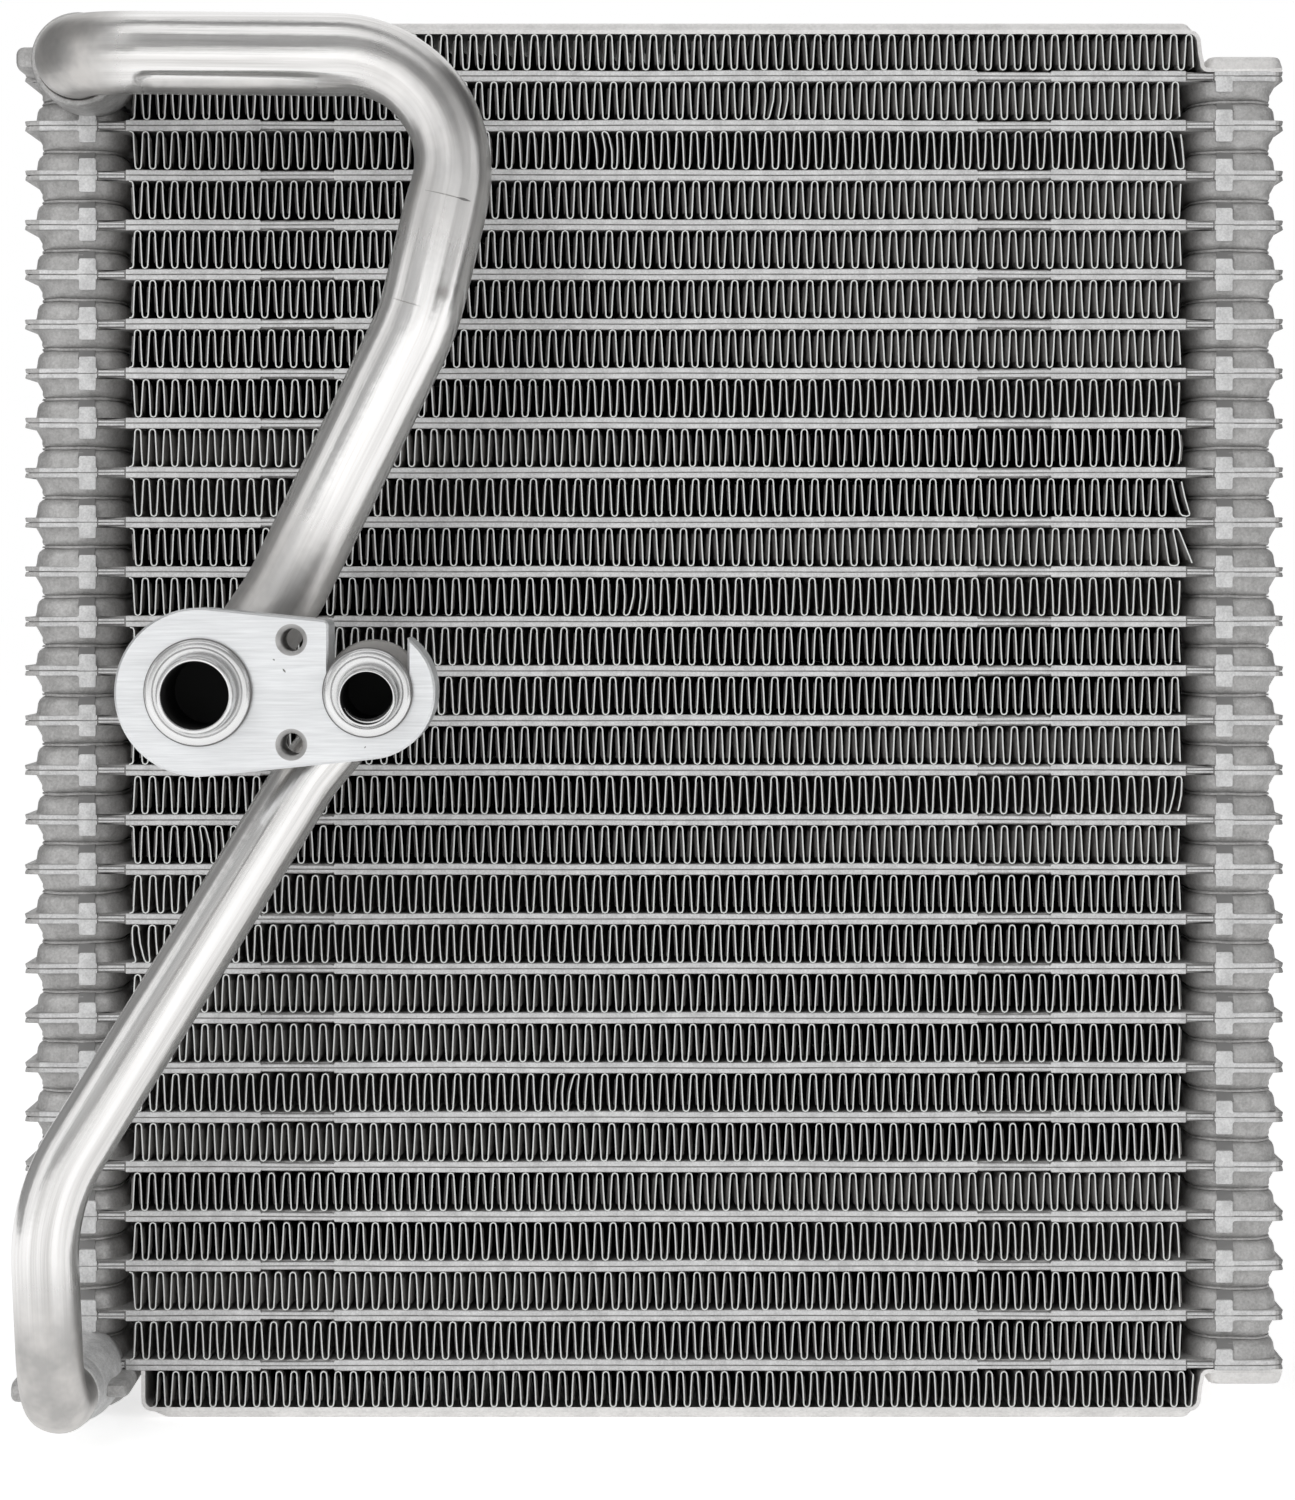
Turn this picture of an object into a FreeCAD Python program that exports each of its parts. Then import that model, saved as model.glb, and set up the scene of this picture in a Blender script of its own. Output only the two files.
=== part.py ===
import FreeCAD, Part
import math
import os
from FreeCAD import Placement, Rotation, Vector

# Evaporator core of the laminated, drawn cup kind, standing upright on its lower end plate.
# +X runs along the tubes, +Y from the pipes' side to the back and +Z up, in millimetres.
# The origin is the middle of the core's footprint, on the surface it stands on.

doc = FreeCAD.newDocument("evaporator_core")

# Driving sizes: alias, value, what it is
SIZES = [
    ("tube_count", 27, "flat tubes in the stack"),
    ("tube_pitch", 9.92, "from one tube to the next"),
    ("tube_thickness", 2.2, "flat tube over both plates, at the fins"),
    ("tank_gap", 1.1, "end of a tube's thick stretch to the cups beside it"),
    ("core_depth", 60, "front edge of the plates to the back edge"),
    ("plate_length", 252.2, "plates from end to end"),
    ("ledge_thickness", 1.6, "brazed edge that stands out round the cups"),
    ("cup_width", 17, "drawn cup along the tube"),
    ("cup_length", 25, "drawn cup from front to back"),
    ("cup_lean", 1.2, "how far a cup's walls lean in up to the next cup"),
    ("ledge_width", 1.8, "ledge from the plate's edge to the cups"),
    ("tab_offset", 113.5, "locating tab's middle from the core's middle"),
    ("tab_width", 4, "locating tab along the tube"),
    ("tab_height", 7, "locating tab over both plates"),
    ("tab_thickness", 0.8, "locating tab's sheet"),
    ("fin_waves", 9, "folds of the air fin in one row"),
    ("fin_thickness", 0.35, "air fin's sheet"),
    ("fin_margin", 0.7, "end of an air fin to the end of the tubes' thick stretch"),
    ("end_fin_height", 7.3, "air fin under an end plate"),
    ("end_fin_width", 207.6, "air fin under an end plate, along the tube"),
    ("end_fin_offset", 3.2, "that fin's middle from the core's middle"),
    ("sheet_thickness", 0.8, "end plate's sheet"),
    ("field_height", 1.6, "pressed field that stands out of an end plate"),
    ("field_lean", 1.8, "how far the field's edges lean in"),
    ("field_margin", 4, "field's edge from the sheet's folds and edges"),
    ("wall_left", 102.6, "end plate's plain wall from the core's middle"),
    ("wall_right", 108.6, "end plate's stepped wall from the core's middle"),
    ("wall_lean", 2, "how far the stepped wall leans out"),
    ("fold_size", 1.5, "cut across the end plate's folds"),
    ("boss_height", 2.2, "closing boss over the last cups"),
    ("boss_lean", 1.2, "how far the boss's walls lean in"),
    ("suction_neck", 113, "suction neck's axis from the core's middle"),
    ("suction_neck_radius", 10.2, "suction neck at its root"),
    ("liquid_neck", 115, "liquid neck's axis from the core's middle"),
    ("liquid_neck_radius", 8.9, "liquid neck at its root"),
    ("liquid_neck_drop", 1.7, "liquid neck's axis below the middle of its tube"),
    ("neck_length", 14, "neck in front of the plates"),
    ("neck_straight", 6, "full width stretch of a neck"),
    ("neck_lip", 0.9, "neck's wall at its mouth"),
    ("socket_depth", 9, "how far a pipe goes into its neck"),
    ("dome_offset", 113, "round dome's middle from the core's middle"),
    ("dome_radius", 9.8, "round dome behind a neck"),
    ("lug_width", 4, "seam lug beside a neck"),
    ("lug_height", 4, "seam lug beside a neck"),
    ("lug_sunk", 1.2, "seam lug's root inside the neck"),
    ("end_lug_sunk", 1.8, "same, for the lug that is cut off level with the plates' end"),
    ("pipe_fit", 0.1, "gap between a pipe and its neck or its hole"),
    ("suction_radius", 7.94, "suction pipe's outside"),
    ("suction_bore", 6.2, "suction pipe's port"),
    ("suction_pilot", 7.27, "suction pipe's end in front of its bead"),
    ("suction_bead", 10, "suction pipe's bead"),
    ("suction_forward", 30, "suction pipe's top run in front of the plates"),
    ("suction_run_end", 32.9, "corner of the suction pipe's top run from the core's middle"),
    ("suction_run_bend", 21.2, "bend radius there"),
    ("suction_knee", 45.2, "suction pipe's knee from the core's middle"),
    ("suction_knee_drop", 51.2, "that knee below the top run"),
    ("suction_knee_bend", 40, "bend radius there"),
    ("suction_elbow", 71.5, "suction pipe's elbow from the core's middle"),
    ("suction_elbow_rise", 18.2, "that elbow above the port"),
    ("suction_elbow_forward", 23, "that elbow in front of the plates"),
    ("liquid_radius", 6.35, "liquid pipe's outside"),
    ("liquid_bore", 4.8, "liquid pipe's port"),
    ("liquid_pilot", 5.55, "liquid pipe's end in front of its bead"),
    ("liquid_bead", 8.35, "liquid pipe's bead"),
    ("liquid_sleeve", 7.2, "liquid pipe's sleeve in the block's slot"),
    ("liquid_forward", 36, "liquid pipe's rise in front of the plates"),
    ("liquid_knee", 116.1, "liquid pipe's knee from the core's middle"),
    ("liquid_knee_rise", 40.7, "that knee above the neck"),
    ("liquid_knee_bend", 38, "bend radius there"),
    ("liquid_elbow", 67.1, "liquid pipe's elbow from the core's middle"),
    ("liquid_elbow_drop", 17.3, "that elbow below the port"),
    ("liquid_elbow_forward", 25, "that elbow in front of the plates"),
    ("behind_block", 22, "both pipes' axis in front of the plates, behind the block"),
    ("bead_thickness", 2.2, "bead along the pipe"),
    ("pilot_length", 6.3, "pipe's end in front of its bead"),
    ("overcut", 1, "how far a cut runs past the surface it opens"),
    ("collar_thickness", 2.5, "collar behind the block"),
    ("collar_margin", 1.1, "collar's edge outside the bead's"),
    ("bore_depth", 22, "open length of a port"),
    ("bend_radius", 15, "pipes' bends at their necks and ports"),
    ("elbow_bend", 30, "pipes' bends at their elbows"),
    ("bend_step", 30, "degrees turned by each short length of a bend"),
    ("block_forward", 56, "block's front in front of the plates"),
    ("block_thickness", 14, "block from front to back"),
    ("block_left", 84, "suction port's axis from the core's middle"),
    ("block_height", 147.3, "both ports' axes above the base"),
    ("port_spacing", 31.2, "from the suction port to the liquid port"),
    ("big_end", 15.55, "block's round end at the suction port"),
    ("small_end", 12.4, "block's hook round the liquid port"),
    ("slot_fit", 0.08, "gap between the sleeve and the slot"),
    ("screw_hole", 2.1, "tapped holes' core radius"),
    ("screw_mouth", 2.95, "tapped holes' countersunk mouth"),
    ("screw_spacing", 19.3, "between the tapped holes"),
    ("screw_offset", 17.1, "tapped holes' line from the suction port"),
]

sheet = doc.addObject("Spreadsheet::Sheet", "sizes")
for row, (alias, value, meaning) in enumerate(SIZES, start=1):
    sheet.set("A%d" % row, alias)
    sheet.set("B%d" % row, str(value))
    sheet.set("C%d" % row, meaning)
    sheet.setAlias("B%d" % row, alias)
doc.recompute()


def size(alias):
    return float(sheet.get(alias))


# Levels that several pieces share, as expressions for the sheet
FIN_FLOOR = "(sizes.field_height + sizes.sheet_thickness)"
FIRST_TUBE = "(%s + sizes.end_fin_height + sizes.tube_thickness / 2)" % FIN_FLOOR

first_tube = (
    size("field_height") + size("sheet_thickness") + size("end_fin_height") + size("tube_thickness") / 2
)
tube_count = int(size("tube_count"))
last_tube = first_tube + (tube_count - 1) * size("tube_pitch")
total_height = last_tube + first_tube
front = -size("core_depth") / 2


# Sketches and features

def new_body(label):
    body = doc.addObject("PartDesign::Body", label)
    body.Label = label
    return body


def origin_feature(body, role):
    return next(item for item in body.Origin.OriginFeatures if item.Role == role)


def new_sketch(body, name, role, offset="0"):
    sketch = body.newObject("Sketcher::SketchObject", name)
    sketch.AttachmentSupport = [(origin_feature(body, role), "")]
    sketch.MapMode = "FlatFace"
    sketch.setExpression("AttachmentOffset.Base.z", offset)
    return sketch


def add_loop(sketch, points):
    corners = [Vector(x, y, 0) for x, y in points]
    for start, end in zip(corners, corners[1:] + corners[:1]):
        sketch.addGeometry(Part.LineSegment(start, end), False)


def add_pad(body, name, sketch, length, backwards=False, both_ways=False):
    pad = body.newObject("PartDesign::Pad", name)
    pad.Profile = sketch
    pad.setExpression("Length", length)
    pad.Reversed = backwards
    if both_ways:
        pad.SideType = "Symmetric"
    sketch.Visibility = False
    return pad


def add_box(body, name, x_low, y_low, z_low, length, width, height):
    """Box in a body; every size is an expression."""
    box = body.newObject("PartDesign::AdditiveBox", name)
    for cell, expression in (("Length", length), ("Width", width), ("Height", height)):
        box.setExpression(cell, expression)
    for axis, expression in (("x", x_low), ("y", y_low), ("z", z_low)):
        box.setExpression("Placement.Base." + axis, expression)
    return box


def add_pressing(body, name, x_range, y_range, height, lean, floor="0", down=False):
    """Drawn shape with four leaning walls, up or down from its floor; ranges are expressions."""
    pressing = body.newObject("PartDesign::AdditiveWedge", name)
    tilt = -90 if down else 90
    across = y_range if down else ["-(%s)" % end for end in reversed(y_range)]
    for cell, expression in (
        ("Xmin", x_range[0]), ("Xmax", x_range[1]),
        ("X2min", "%s + %s" % (x_range[0], lean)), ("X2max", "%s - %s" % (x_range[1], lean)),
        ("Ymin", "0"), ("Ymax", height),
        ("Zmin", across[0]), ("Zmax", across[1]),
        ("Z2min", "%s + %s" % (across[0], lean)), ("Z2max", "%s - %s" % (across[1], lean)),
    ):
        pressing.setExpression(cell, expression)
    pressing.Placement = Placement(Vector(), Rotation(Vector(1, 0, 0), tilt))
    pressing.setExpression("Placement.Base.z", floor)
    return pressing


def mirror_all(body, name, role):
    mirror = body.newObject("PartDesign::Mirrored", name)
    mirror.TransformMode = "Whole shape"
    mirror.MirrorPlane = (origin_feature(body, role), [""])
    body.Tip = mirror
    return mirror


# Places of the cups, as expressions
CUP_OUTER = "(sizes.plate_length / 2 - sizes.ledge_width)"
CUP_INNER = "(%s - sizes.cup_width)" % CUP_OUTER
TUBE_REACH = "(%s - sizes.tank_gap)" % CUP_INNER
CUP_EDGE = "(sizes.core_depth / 2 - sizes.ledge_width)"
CUP_NEAR = "(%s - sizes.cup_length)" % CUP_EDGE


# Flat tubes: two pressed plates brazed edge to edge, with cups drawn out of both ends

def add_tab(body, side, down):
    """Locating tab of one plate, folded up or down from its front edge."""
    place = "%d * sizes.tab_offset - sizes.tab_width / 2" % side
    low = "-sizes.tab_height / 2" if down else "0"
    add_box(body, "tab", place, "-sizes.core_depth / 2", low,
            "sizes.tab_width", "sizes.tab_thickness", "sizes.tab_height / 2")


def add_neck(body, pipe, drop):
    """Neck that a pipe goes into, turned about an axis level with its tube or below it."""
    mouth = front - size("neck_length")
    shoulder = front - size("neck_straight")
    bore = size(pipe + "_radius") + size("pipe_fit")
    lip = bore + size("neck_lip")
    root = size(pipe + "_neck_radius")
    axis_x = -size(pipe + "_neck")
    sketch = new_sketch(body, "neck_outline", "XY_Plane", "-" + drop)
    add_loop(sketch, [
        (axis_x, mouth + size("socket_depth")), (axis_x - bore, mouth + size("socket_depth")),
        (axis_x - bore, mouth), (axis_x - lip, mouth),
        (axis_x - root, shoulder), (axis_x - root, front), (axis_x, front),
    ])
    sketch.addGeometry(Part.LineSegment(Vector(axis_x, 0, 0), Vector(axis_x, 1, 0)), True)
    neck = body.newObject("PartDesign::Revolution", "neck")
    neck.Profile = sketch
    neck.ReferenceAxis = (sketch, ["Axis0"])
    neck.Angle = 360
    sketch.Visibility = False


def add_lug(body, pipe, drop, side, sunk):
    """Flat lug where the two plates' edges meet beside a neck."""
    reach = "sizes.%s_neck_radius + sizes.lug_width / 2 - %s" % (pipe, sunk)
    middle = "-sizes.%s_neck + %d * (%s)" % (pipe, side, reach)
    add_box(body, "lug", middle + " - sizes.lug_width / 2", "-sizes.core_depth / 2 - sizes.neck_straight",
            "-sizes.lug_height / 2 - " + drop, "sizes.lug_width", "sizes.neck_straight", "sizes.lug_height")


def add_dome(body, down):
    """Half round dome that leads a neck over the front cups, and a low boss over the back ones."""
    middle = Vector(-size("dome_offset"), 0, 0)
    turn = math.pi if down else 0
    outline = new_sketch(body, "dome_outline", "XZ_Plane", "sizes.core_depth / 2")
    arc = Part.ArcOfCircle(Part.Circle(middle, Vector(0, 0, 1), size("dome_radius")), turn, turn + math.pi)
    outline.addGeometry(arc, False)
    outline.addGeometry(Part.LineSegment(arc.EndPoint, arc.StartPoint), False)
    add_pad(body, "dome", outline, "sizes.ledge_width + sizes.cup_length", backwards=True)
    add_pressing(
        body, "back_boss", ("-" + CUP_OUTER, "-" + CUP_INNER), (CUP_NEAR, CUP_EDGE),
        "sizes.ledge_thickness / 2 + sizes.boss_height", "sizes.boss_lean", down=down,
    )


def make_tube(number):
    body = new_body("tube_%02d" % number)
    lowest = number == 1
    highest = number == tube_count
    add_pressing(
        body, "cup", (CUP_INNER, CUP_OUTER), ("-" + CUP_EDGE, "-" + CUP_NEAR),
        "sizes.tube_pitch / 2", "sizes.cup_lean", down=highest,
    )
    add_box(body, "ledge", "0", "-sizes.core_depth / 2", "-sizes.ledge_thickness / 2",
            "sizes.plate_length / 2", "sizes.core_depth / 2", "sizes.ledge_thickness")
    add_box(body, "flat_tube", "0", "-sizes.core_depth / 2", "-sizes.tube_thickness / 2",
            TUBE_REACH, "sizes.core_depth / 2", "sizes.tube_thickness")
    mirror_all(body, "back_half", "XZ_Plane")
    mirror_all(body, "pipe_side", "YZ_Plane")
    add_tab(body, 1, highest)
    if not (lowest or highest):
        add_tab(body, -1, False)
        mirror_all(body, "other_plate", "XY_Plane")
    else:
        pipe = "liquid" if lowest else "suction"
        drop = "sizes.liquid_neck_drop" if lowest else "0"
        add_neck(body, pipe, drop)
        add_lug(body, pipe, drop, -1, "sizes.end_lug_sunk" if lowest else "sizes.lug_sunk")
        add_lug(body, pipe, drop, 1, "sizes.lug_sunk")
        add_dome(body, down=lowest)
    body.setExpression("Placement.Base.z", "%s + %d * sizes.tube_pitch" % (FIRST_TUBE, number - 1))
    return body


# Air fins: one folded strip between each two tubes

def make_fin(number):
    body = new_body("fin_%02d" % number)
    at_end = number in (1, tube_count + 1)
    if at_end:
        width = "sizes.end_fin_width"
        length = size("end_fin_width")
        height = size("end_fin_height")
        middle = "sizes.end_fin_offset"
    else:
        width = "2 * (%s - sizes.fin_margin)" % TUBE_REACH
        inset = size("ledge_width") + size("cup_width") + size("tank_gap") + size("fin_margin")
        length = size("plate_length") - 2 * inset
        height = size("tube_pitch") - size("tube_thickness")
        middle = "0"
    wave = length / size("fin_waves")
    half = wave / 2
    rise = size("fin_thickness") * math.hypot(half, height) / half
    fold = new_sketch(body, "one_fold", "XZ_Plane")
    add_loop(fold, [(0, 0), (half, height - rise), (wave, 0), (wave, rise), (half, height), (0, rise)])
    add_pad(body, "fold", fold, "sizes.core_depth", both_ways=True)
    row = body.newObject("PartDesign::LinearPattern", "row_of_folds")
    row.Originals = [body.Group[-2]]
    row.Direction = (origin_feature(body, "X_Axis"), [""])
    row.setExpression("Length", "%s - %s / sizes.fin_waves" % (width, width))
    row.setExpression("Occurrences", "sizes.fin_waves")
    body.Tip = row
    if number == 1:
        floor = FIN_FLOOR
    else:
        floor = "%s + %d * sizes.tube_pitch + sizes.tube_thickness / 2" % (FIRST_TUBE, number - 2)
    body.setExpression("Placement.Base.x", "%s - %s / 2" % (middle, width))
    body.setExpression("Placement.Base.z", floor)
    return body


# End plates: a sheet with a pressed field, a plain wall at the pipes' end and a step at the other

def make_end_plate(label, upside_down):
    body = new_body(label)
    sheet_low = size("field_height")
    sheet_high = sheet_low + size("sheet_thickness")
    tube_low = first_tube - size("tube_thickness") / 2
    ledge_low = first_tube - size("ledge_thickness") / 2
    flange_low = ledge_low - size("sheet_thickness")
    left = -size("wall_left")
    right = size("wall_right")
    step = right + size("wall_lean")
    end = size("plate_length") / 2
    thick = size("sheet_thickness")
    cut = size("fold_size")
    section = new_sketch(body, "section", "XZ_Plane")
    add_loop(section, [
        (left, tube_low), (left, sheet_low + cut), (left + cut, sheet_low),
        (right - cut, sheet_low), (right, sheet_low + cut), (step, flange_low),
        (end, flange_low), (end, ledge_low), (step - thick, ledge_low),
        (right - thick, sheet_high + cut / 2), (right - thick - cut / 2, sheet_high),
        (left + thick + cut / 2, sheet_high), (left + thick, sheet_high + cut / 2),
        (left + thick, tube_low),
    ])
    add_pad(body, "sheet", section, "sizes.core_depth", both_ways=True)
    field_edge = "(sizes.core_depth / 2 - sizes.field_margin)"
    add_pressing(
        body, "pressed_field",
        ("(sizes.field_margin - sizes.wall_left)", "(sizes.wall_right - sizes.field_margin)"),
        ("-" + field_edge, field_edge),
        "sizes.field_height", "sizes.field_lean", floor="sizes.field_height", down=True,
    )
    boss_range = (
        "(sizes.wall_right + sizes.wall_lean)", "(sizes.plate_length / 2 - sizes.sheet_thickness / 2)",
    )
    flange = "%s - (sizes.ledge_thickness + sizes.sheet_thickness) / 2" % FIRST_TUBE
    boss_rows = (("front_boss", ("-" + CUP_EDGE, "-" + CUP_NEAR)), ("back_boss", (CUP_NEAR, CUP_EDGE)))
    for name, y_range in boss_rows:
        add_pressing(
            body, name, boss_range, y_range,
            "sizes.sheet_thickness / 2 + sizes.boss_height", "sizes.boss_lean", floor=flange, down=True,
        )
    if upside_down:
        body.Placement = Placement(Vector(0, 0, total_height), Rotation(Vector(1, 0, 0), 180))
    return body


# Pipes: bent tubes, each with a bead and a collar that hold the block and an open end

def bent_route(corners, radii):
    """Axis of a pipe: straight runs joined by bends, each bend a few short straight lengths."""
    points = [corners[0]]
    for before, corner, after, radius in zip(corners, corners[1:], corners[2:], radii):
        way_in = (corner - before).normalize()
        way_out = (after - corner).normalize()
        turn = way_in.getAngle(way_out)
        reach = radius * math.tan(turn / 2)
        centre = corner + (way_out - way_in).normalize() * (radius / math.cos(turn / 2))
        spoke = (corner - way_in * reach) - centre
        axle = way_in.cross(way_out)
        lengths = max(1, round(math.degrees(turn) / size("bend_step")))
        for step in range(lengths + 1):
            swing = Rotation(axle, math.degrees(turn) * step / lengths)
            points.append(centre + swing.multVec(spoke))
    points.append(corners[-1])
    return points


def add_cylinder(name, radius, height, place):
    """Cylinder towards the front from a place on a port's axis; sizes are expressions."""
    cylinder = doc.addObject("Part::Cylinder", name)
    cylinder.setExpression("Radius", radius)
    cylinder.setExpression("Height", height)
    cylinder.Placement = Placement(place, Rotation(Vector(0, 0, 1), Vector(0, -1, 0)))
    return cylinder


def make_pipe(label, corners, radii, sleeve):
    """A pipe from its neck to its port: corners run from the neck's socket to the port's mouth."""
    route = bent_route(corners, radii)
    spine = doc.addObject("Part::Feature", label + "_axis")
    spine.Shape = Part.makePolygon(route)
    ring = doc.addObject("Part::Circle", label + "_ring")
    ring.setExpression("Radius", "sizes.%s_radius" % label)
    ring.Placement = Placement(route[0], Rotation(Vector(0, 0, 1), route[1] - route[0]))
    tube = doc.addObject("Part::Sweep", label + "_tube")
    tube.Sections = [ring]
    tube.Spine = (spine, ["Edge%d" % (number + 1) for number in range(len(route) - 1)])
    tube.Solid = True
    tube.Transition = "Right corner"
    end = route[-1]
    block_front = Vector(end.x, front - size("block_forward"), end.z)
    block_back = block_front + Vector(0, size("block_thickness"), 0)
    collar_back = block_back + Vector(0, size("collar_thickness"), 0)
    bead_front = block_front - Vector(0, size("bead_thickness"), 0)
    pieces = [
        tube,
        add_cylinder(label + "_collar", "sizes.%s_bead + sizes.collar_margin" % label,
                     "sizes.collar_thickness", collar_back),
        add_cylinder(label + "_sleeve", sleeve, "sizes.block_thickness", block_back),
        add_cylinder(label + "_bead", "sizes.%s_bead" % label, "sizes.bead_thickness", block_front),
        add_cylinder(label + "_pilot", "sizes.%s_pilot" % label, "sizes.pilot_length", bead_front),
    ]
    whole = doc.addObject("Part::MultiFuse", label + "_whole")
    whole.Shapes = pieces
    mouth = bead_front - Vector(0, size("pilot_length"), 0)
    bore = add_cylinder(label + "_bore", "sizes.%s_bore" % label, "sizes.bore_depth + sizes.overcut",
                        mouth + Vector(0, size("bore_depth"), 0))
    pipe = doc.addObject("Part::Cut", label + "_pipe")
    pipe.Base = whole
    pipe.Tool = bore
    pipe.Label = label + "_pipe"
    return pipe


suction_port = Vector(-size("block_left"), 0, size("block_height"))
liquid_port = suction_port + Vector(size("port_spacing"), 0, 0)
socket_floor = front - size("neck_length") + size("socket_depth")
behind = front - size("behind_block")
block_face = front - size("block_forward")


def make_suction_pipe():
    neck_x = -size("suction_neck")
    forward = front - size("suction_forward")
    corners = [
        Vector(neck_x, socket_floor, last_tube),
        Vector(neck_x, forward, last_tube),
        Vector(-size("suction_run_end"), forward, last_tube),
        Vector(-size("suction_knee"), forward, last_tube - size("suction_knee_drop")),
        Vector(-size("suction_elbow"), front - size("suction_elbow_forward"),
               suction_port.z + size("suction_elbow_rise")),
        Vector(suction_port.x, behind, suction_port.z),
        Vector(suction_port.x, block_face, suction_port.z),
    ]
    radii = [
        size("bend_radius"), size("suction_run_bend"), size("suction_knee_bend"),
        size("elbow_bend"), size("bend_radius"),
    ]
    return make_pipe("suction", corners, radii, "sizes.suction_radius")


def make_liquid_pipe():
    neck_x = -size("liquid_neck")
    neck_z = first_tube - size("liquid_neck_drop")
    forward = front - size("liquid_forward")
    corners = [
        Vector(neck_x, socket_floor, neck_z),
        Vector(neck_x, forward, neck_z),
        Vector(-size("liquid_knee"), forward, neck_z + size("liquid_knee_rise")),
        Vector(-size("liquid_elbow"), front - size("liquid_elbow_forward"),
               liquid_port.z - size("liquid_elbow_drop")),
        Vector(liquid_port.x, behind, liquid_port.z),
        Vector(liquid_port.x, block_face, liquid_port.z),
    ]
    radii = [size("bend_radius"), size("liquid_knee_bend"), size("elbow_bend"), size("bend_radius")]
    return make_pipe("liquid", corners, radii, "sizes.liquid_sleeve")


# Block fitting: a sawn and milled bar with a closed hole, an open slot and two tapped holes

def make_block():
    body = new_body("block_fitting")
    face_offset = "sizes.core_depth / 2 + sizes.block_forward"
    big = Vector(suction_port.x, suction_port.z, 0)
    small = Vector(liquid_port.x, liquid_port.z, 0)
    turn = math.acos((size("big_end") - size("small_end")) / size("port_spacing"))
    up = Vector(0, 0, 1)
    big_arc = Part.ArcOfCircle(Part.Circle(big, up, size("big_end")), turn, 2 * math.pi - turn)
    small_arc = Part.ArcOfCircle(Part.Circle(small, up, size("small_end")), -turn, turn)
    outline = new_sketch(body, "block_outline", "XZ_Plane", face_offset)
    for item in (
        big_arc,
        Part.LineSegment(big_arc.EndPoint, small_arc.StartPoint),
        small_arc,
        Part.LineSegment(small_arc.EndPoint, big_arc.StartPoint),
    ):
        outline.addGeometry(item, False)
    add_pad(body, "bar", outline, "sizes.block_thickness", backwards=True)

    slot_radius = size("liquid_sleeve") + size("slot_fit")
    slot_top = small.y + size("big_end") + size("overcut")
    slot_arc = Part.ArcOfCircle(Part.Circle(small, up, slot_radius), math.pi, 2 * math.pi)
    slot_left = Vector(small.x - slot_radius, slot_top, 0)
    slot_right = Vector(small.x + slot_radius, slot_top, 0)
    openings = new_sketch(body, "slot_outline", "XZ_Plane", face_offset)
    for item in (
        slot_arc,
        Part.LineSegment(slot_arc.EndPoint, slot_right),
        Part.LineSegment(slot_right, slot_left),
        Part.LineSegment(slot_left, slot_arc.StartPoint),
        Part.Circle(big, up, size("suction_radius") + size("pipe_fit")),
    ):
        openings.addGeometry(item, False)
    slot = body.newObject("PartDesign::Pocket", "slot_and_port")
    slot.Profile = openings
    slot.Type = "ThroughAll"
    slot.Reversed = False

    centres = new_sketch(body, "screw_centres", "XZ_Plane", face_offset)
    for side in (-1, 1):
        centre = big + Vector(size("screw_offset"), side * size("screw_spacing") / 2, 0)
        centres.addGeometry(Part.Circle(centre, up, size("screw_hole")), False)
    doc.recompute()
    holes = body.newObject("PartDesign::Hole", "screw_holes")
    holes.Profile = centres
    holes.DepthType = "ThroughAll"
    holes.HoleCutType = "Countersink"
    holes.setExpression("Diameter", "2 * sizes.screw_hole")
    holes.setExpression("HoleCutDiameter", "2 * sizes.screw_mouth")
    holes.HoleCutCountersinkAngle = 90
    return body


pieces = [make_tube(number) for number in range(1, tube_count + 1)]
pieces += [make_fin(number) for number in range(1, tube_count + 2)]
pieces += [make_end_plate("end_plate_bottom", False), make_end_plate("end_plate_top", True)]
pieces += [make_suction_pipe(), make_liquid_pipe(), make_block()]
doc.recompute()

faults = []
for item in doc.Objects:
    if "Invalid" in item.State or "Error" in item.State:
        faults.append(item.Label)
for piece in pieces:
    if piece.Shape.isNull() or not piece.Shape.isValid():
        faults.append(piece.Label)
if faults:
    raise RuntimeError("These failed: " + ", ".join(faults))

os.makedirs("parts", exist_ok=True)
for piece in pieces:
    piece.Shape.exportStep("parts/%s.step" % piece.Label)
    print(piece.Label, len(piece.Shape.Solids), round(piece.Shape.Volume, 1))
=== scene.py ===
import math
import random

import bmesh
import bpy
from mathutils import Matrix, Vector
from mathutils.geometry import tessellate_polygon


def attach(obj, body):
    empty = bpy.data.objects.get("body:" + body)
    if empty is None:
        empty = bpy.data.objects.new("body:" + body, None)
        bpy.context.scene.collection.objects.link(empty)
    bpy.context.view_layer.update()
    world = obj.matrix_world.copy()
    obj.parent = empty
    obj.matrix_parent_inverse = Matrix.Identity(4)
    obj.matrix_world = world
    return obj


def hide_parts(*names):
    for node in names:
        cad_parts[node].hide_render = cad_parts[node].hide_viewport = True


# Evaporator core: looks for each solid of the frame. Sizes are millimetres unless a name ends in _m

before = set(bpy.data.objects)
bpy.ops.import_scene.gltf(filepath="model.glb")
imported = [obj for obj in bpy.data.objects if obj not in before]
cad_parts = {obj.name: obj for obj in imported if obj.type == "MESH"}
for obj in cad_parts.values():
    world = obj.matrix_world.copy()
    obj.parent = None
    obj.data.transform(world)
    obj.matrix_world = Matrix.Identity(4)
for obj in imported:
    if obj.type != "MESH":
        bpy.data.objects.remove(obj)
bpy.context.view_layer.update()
scene = bpy.context.scene
MM = 0.001

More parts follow.
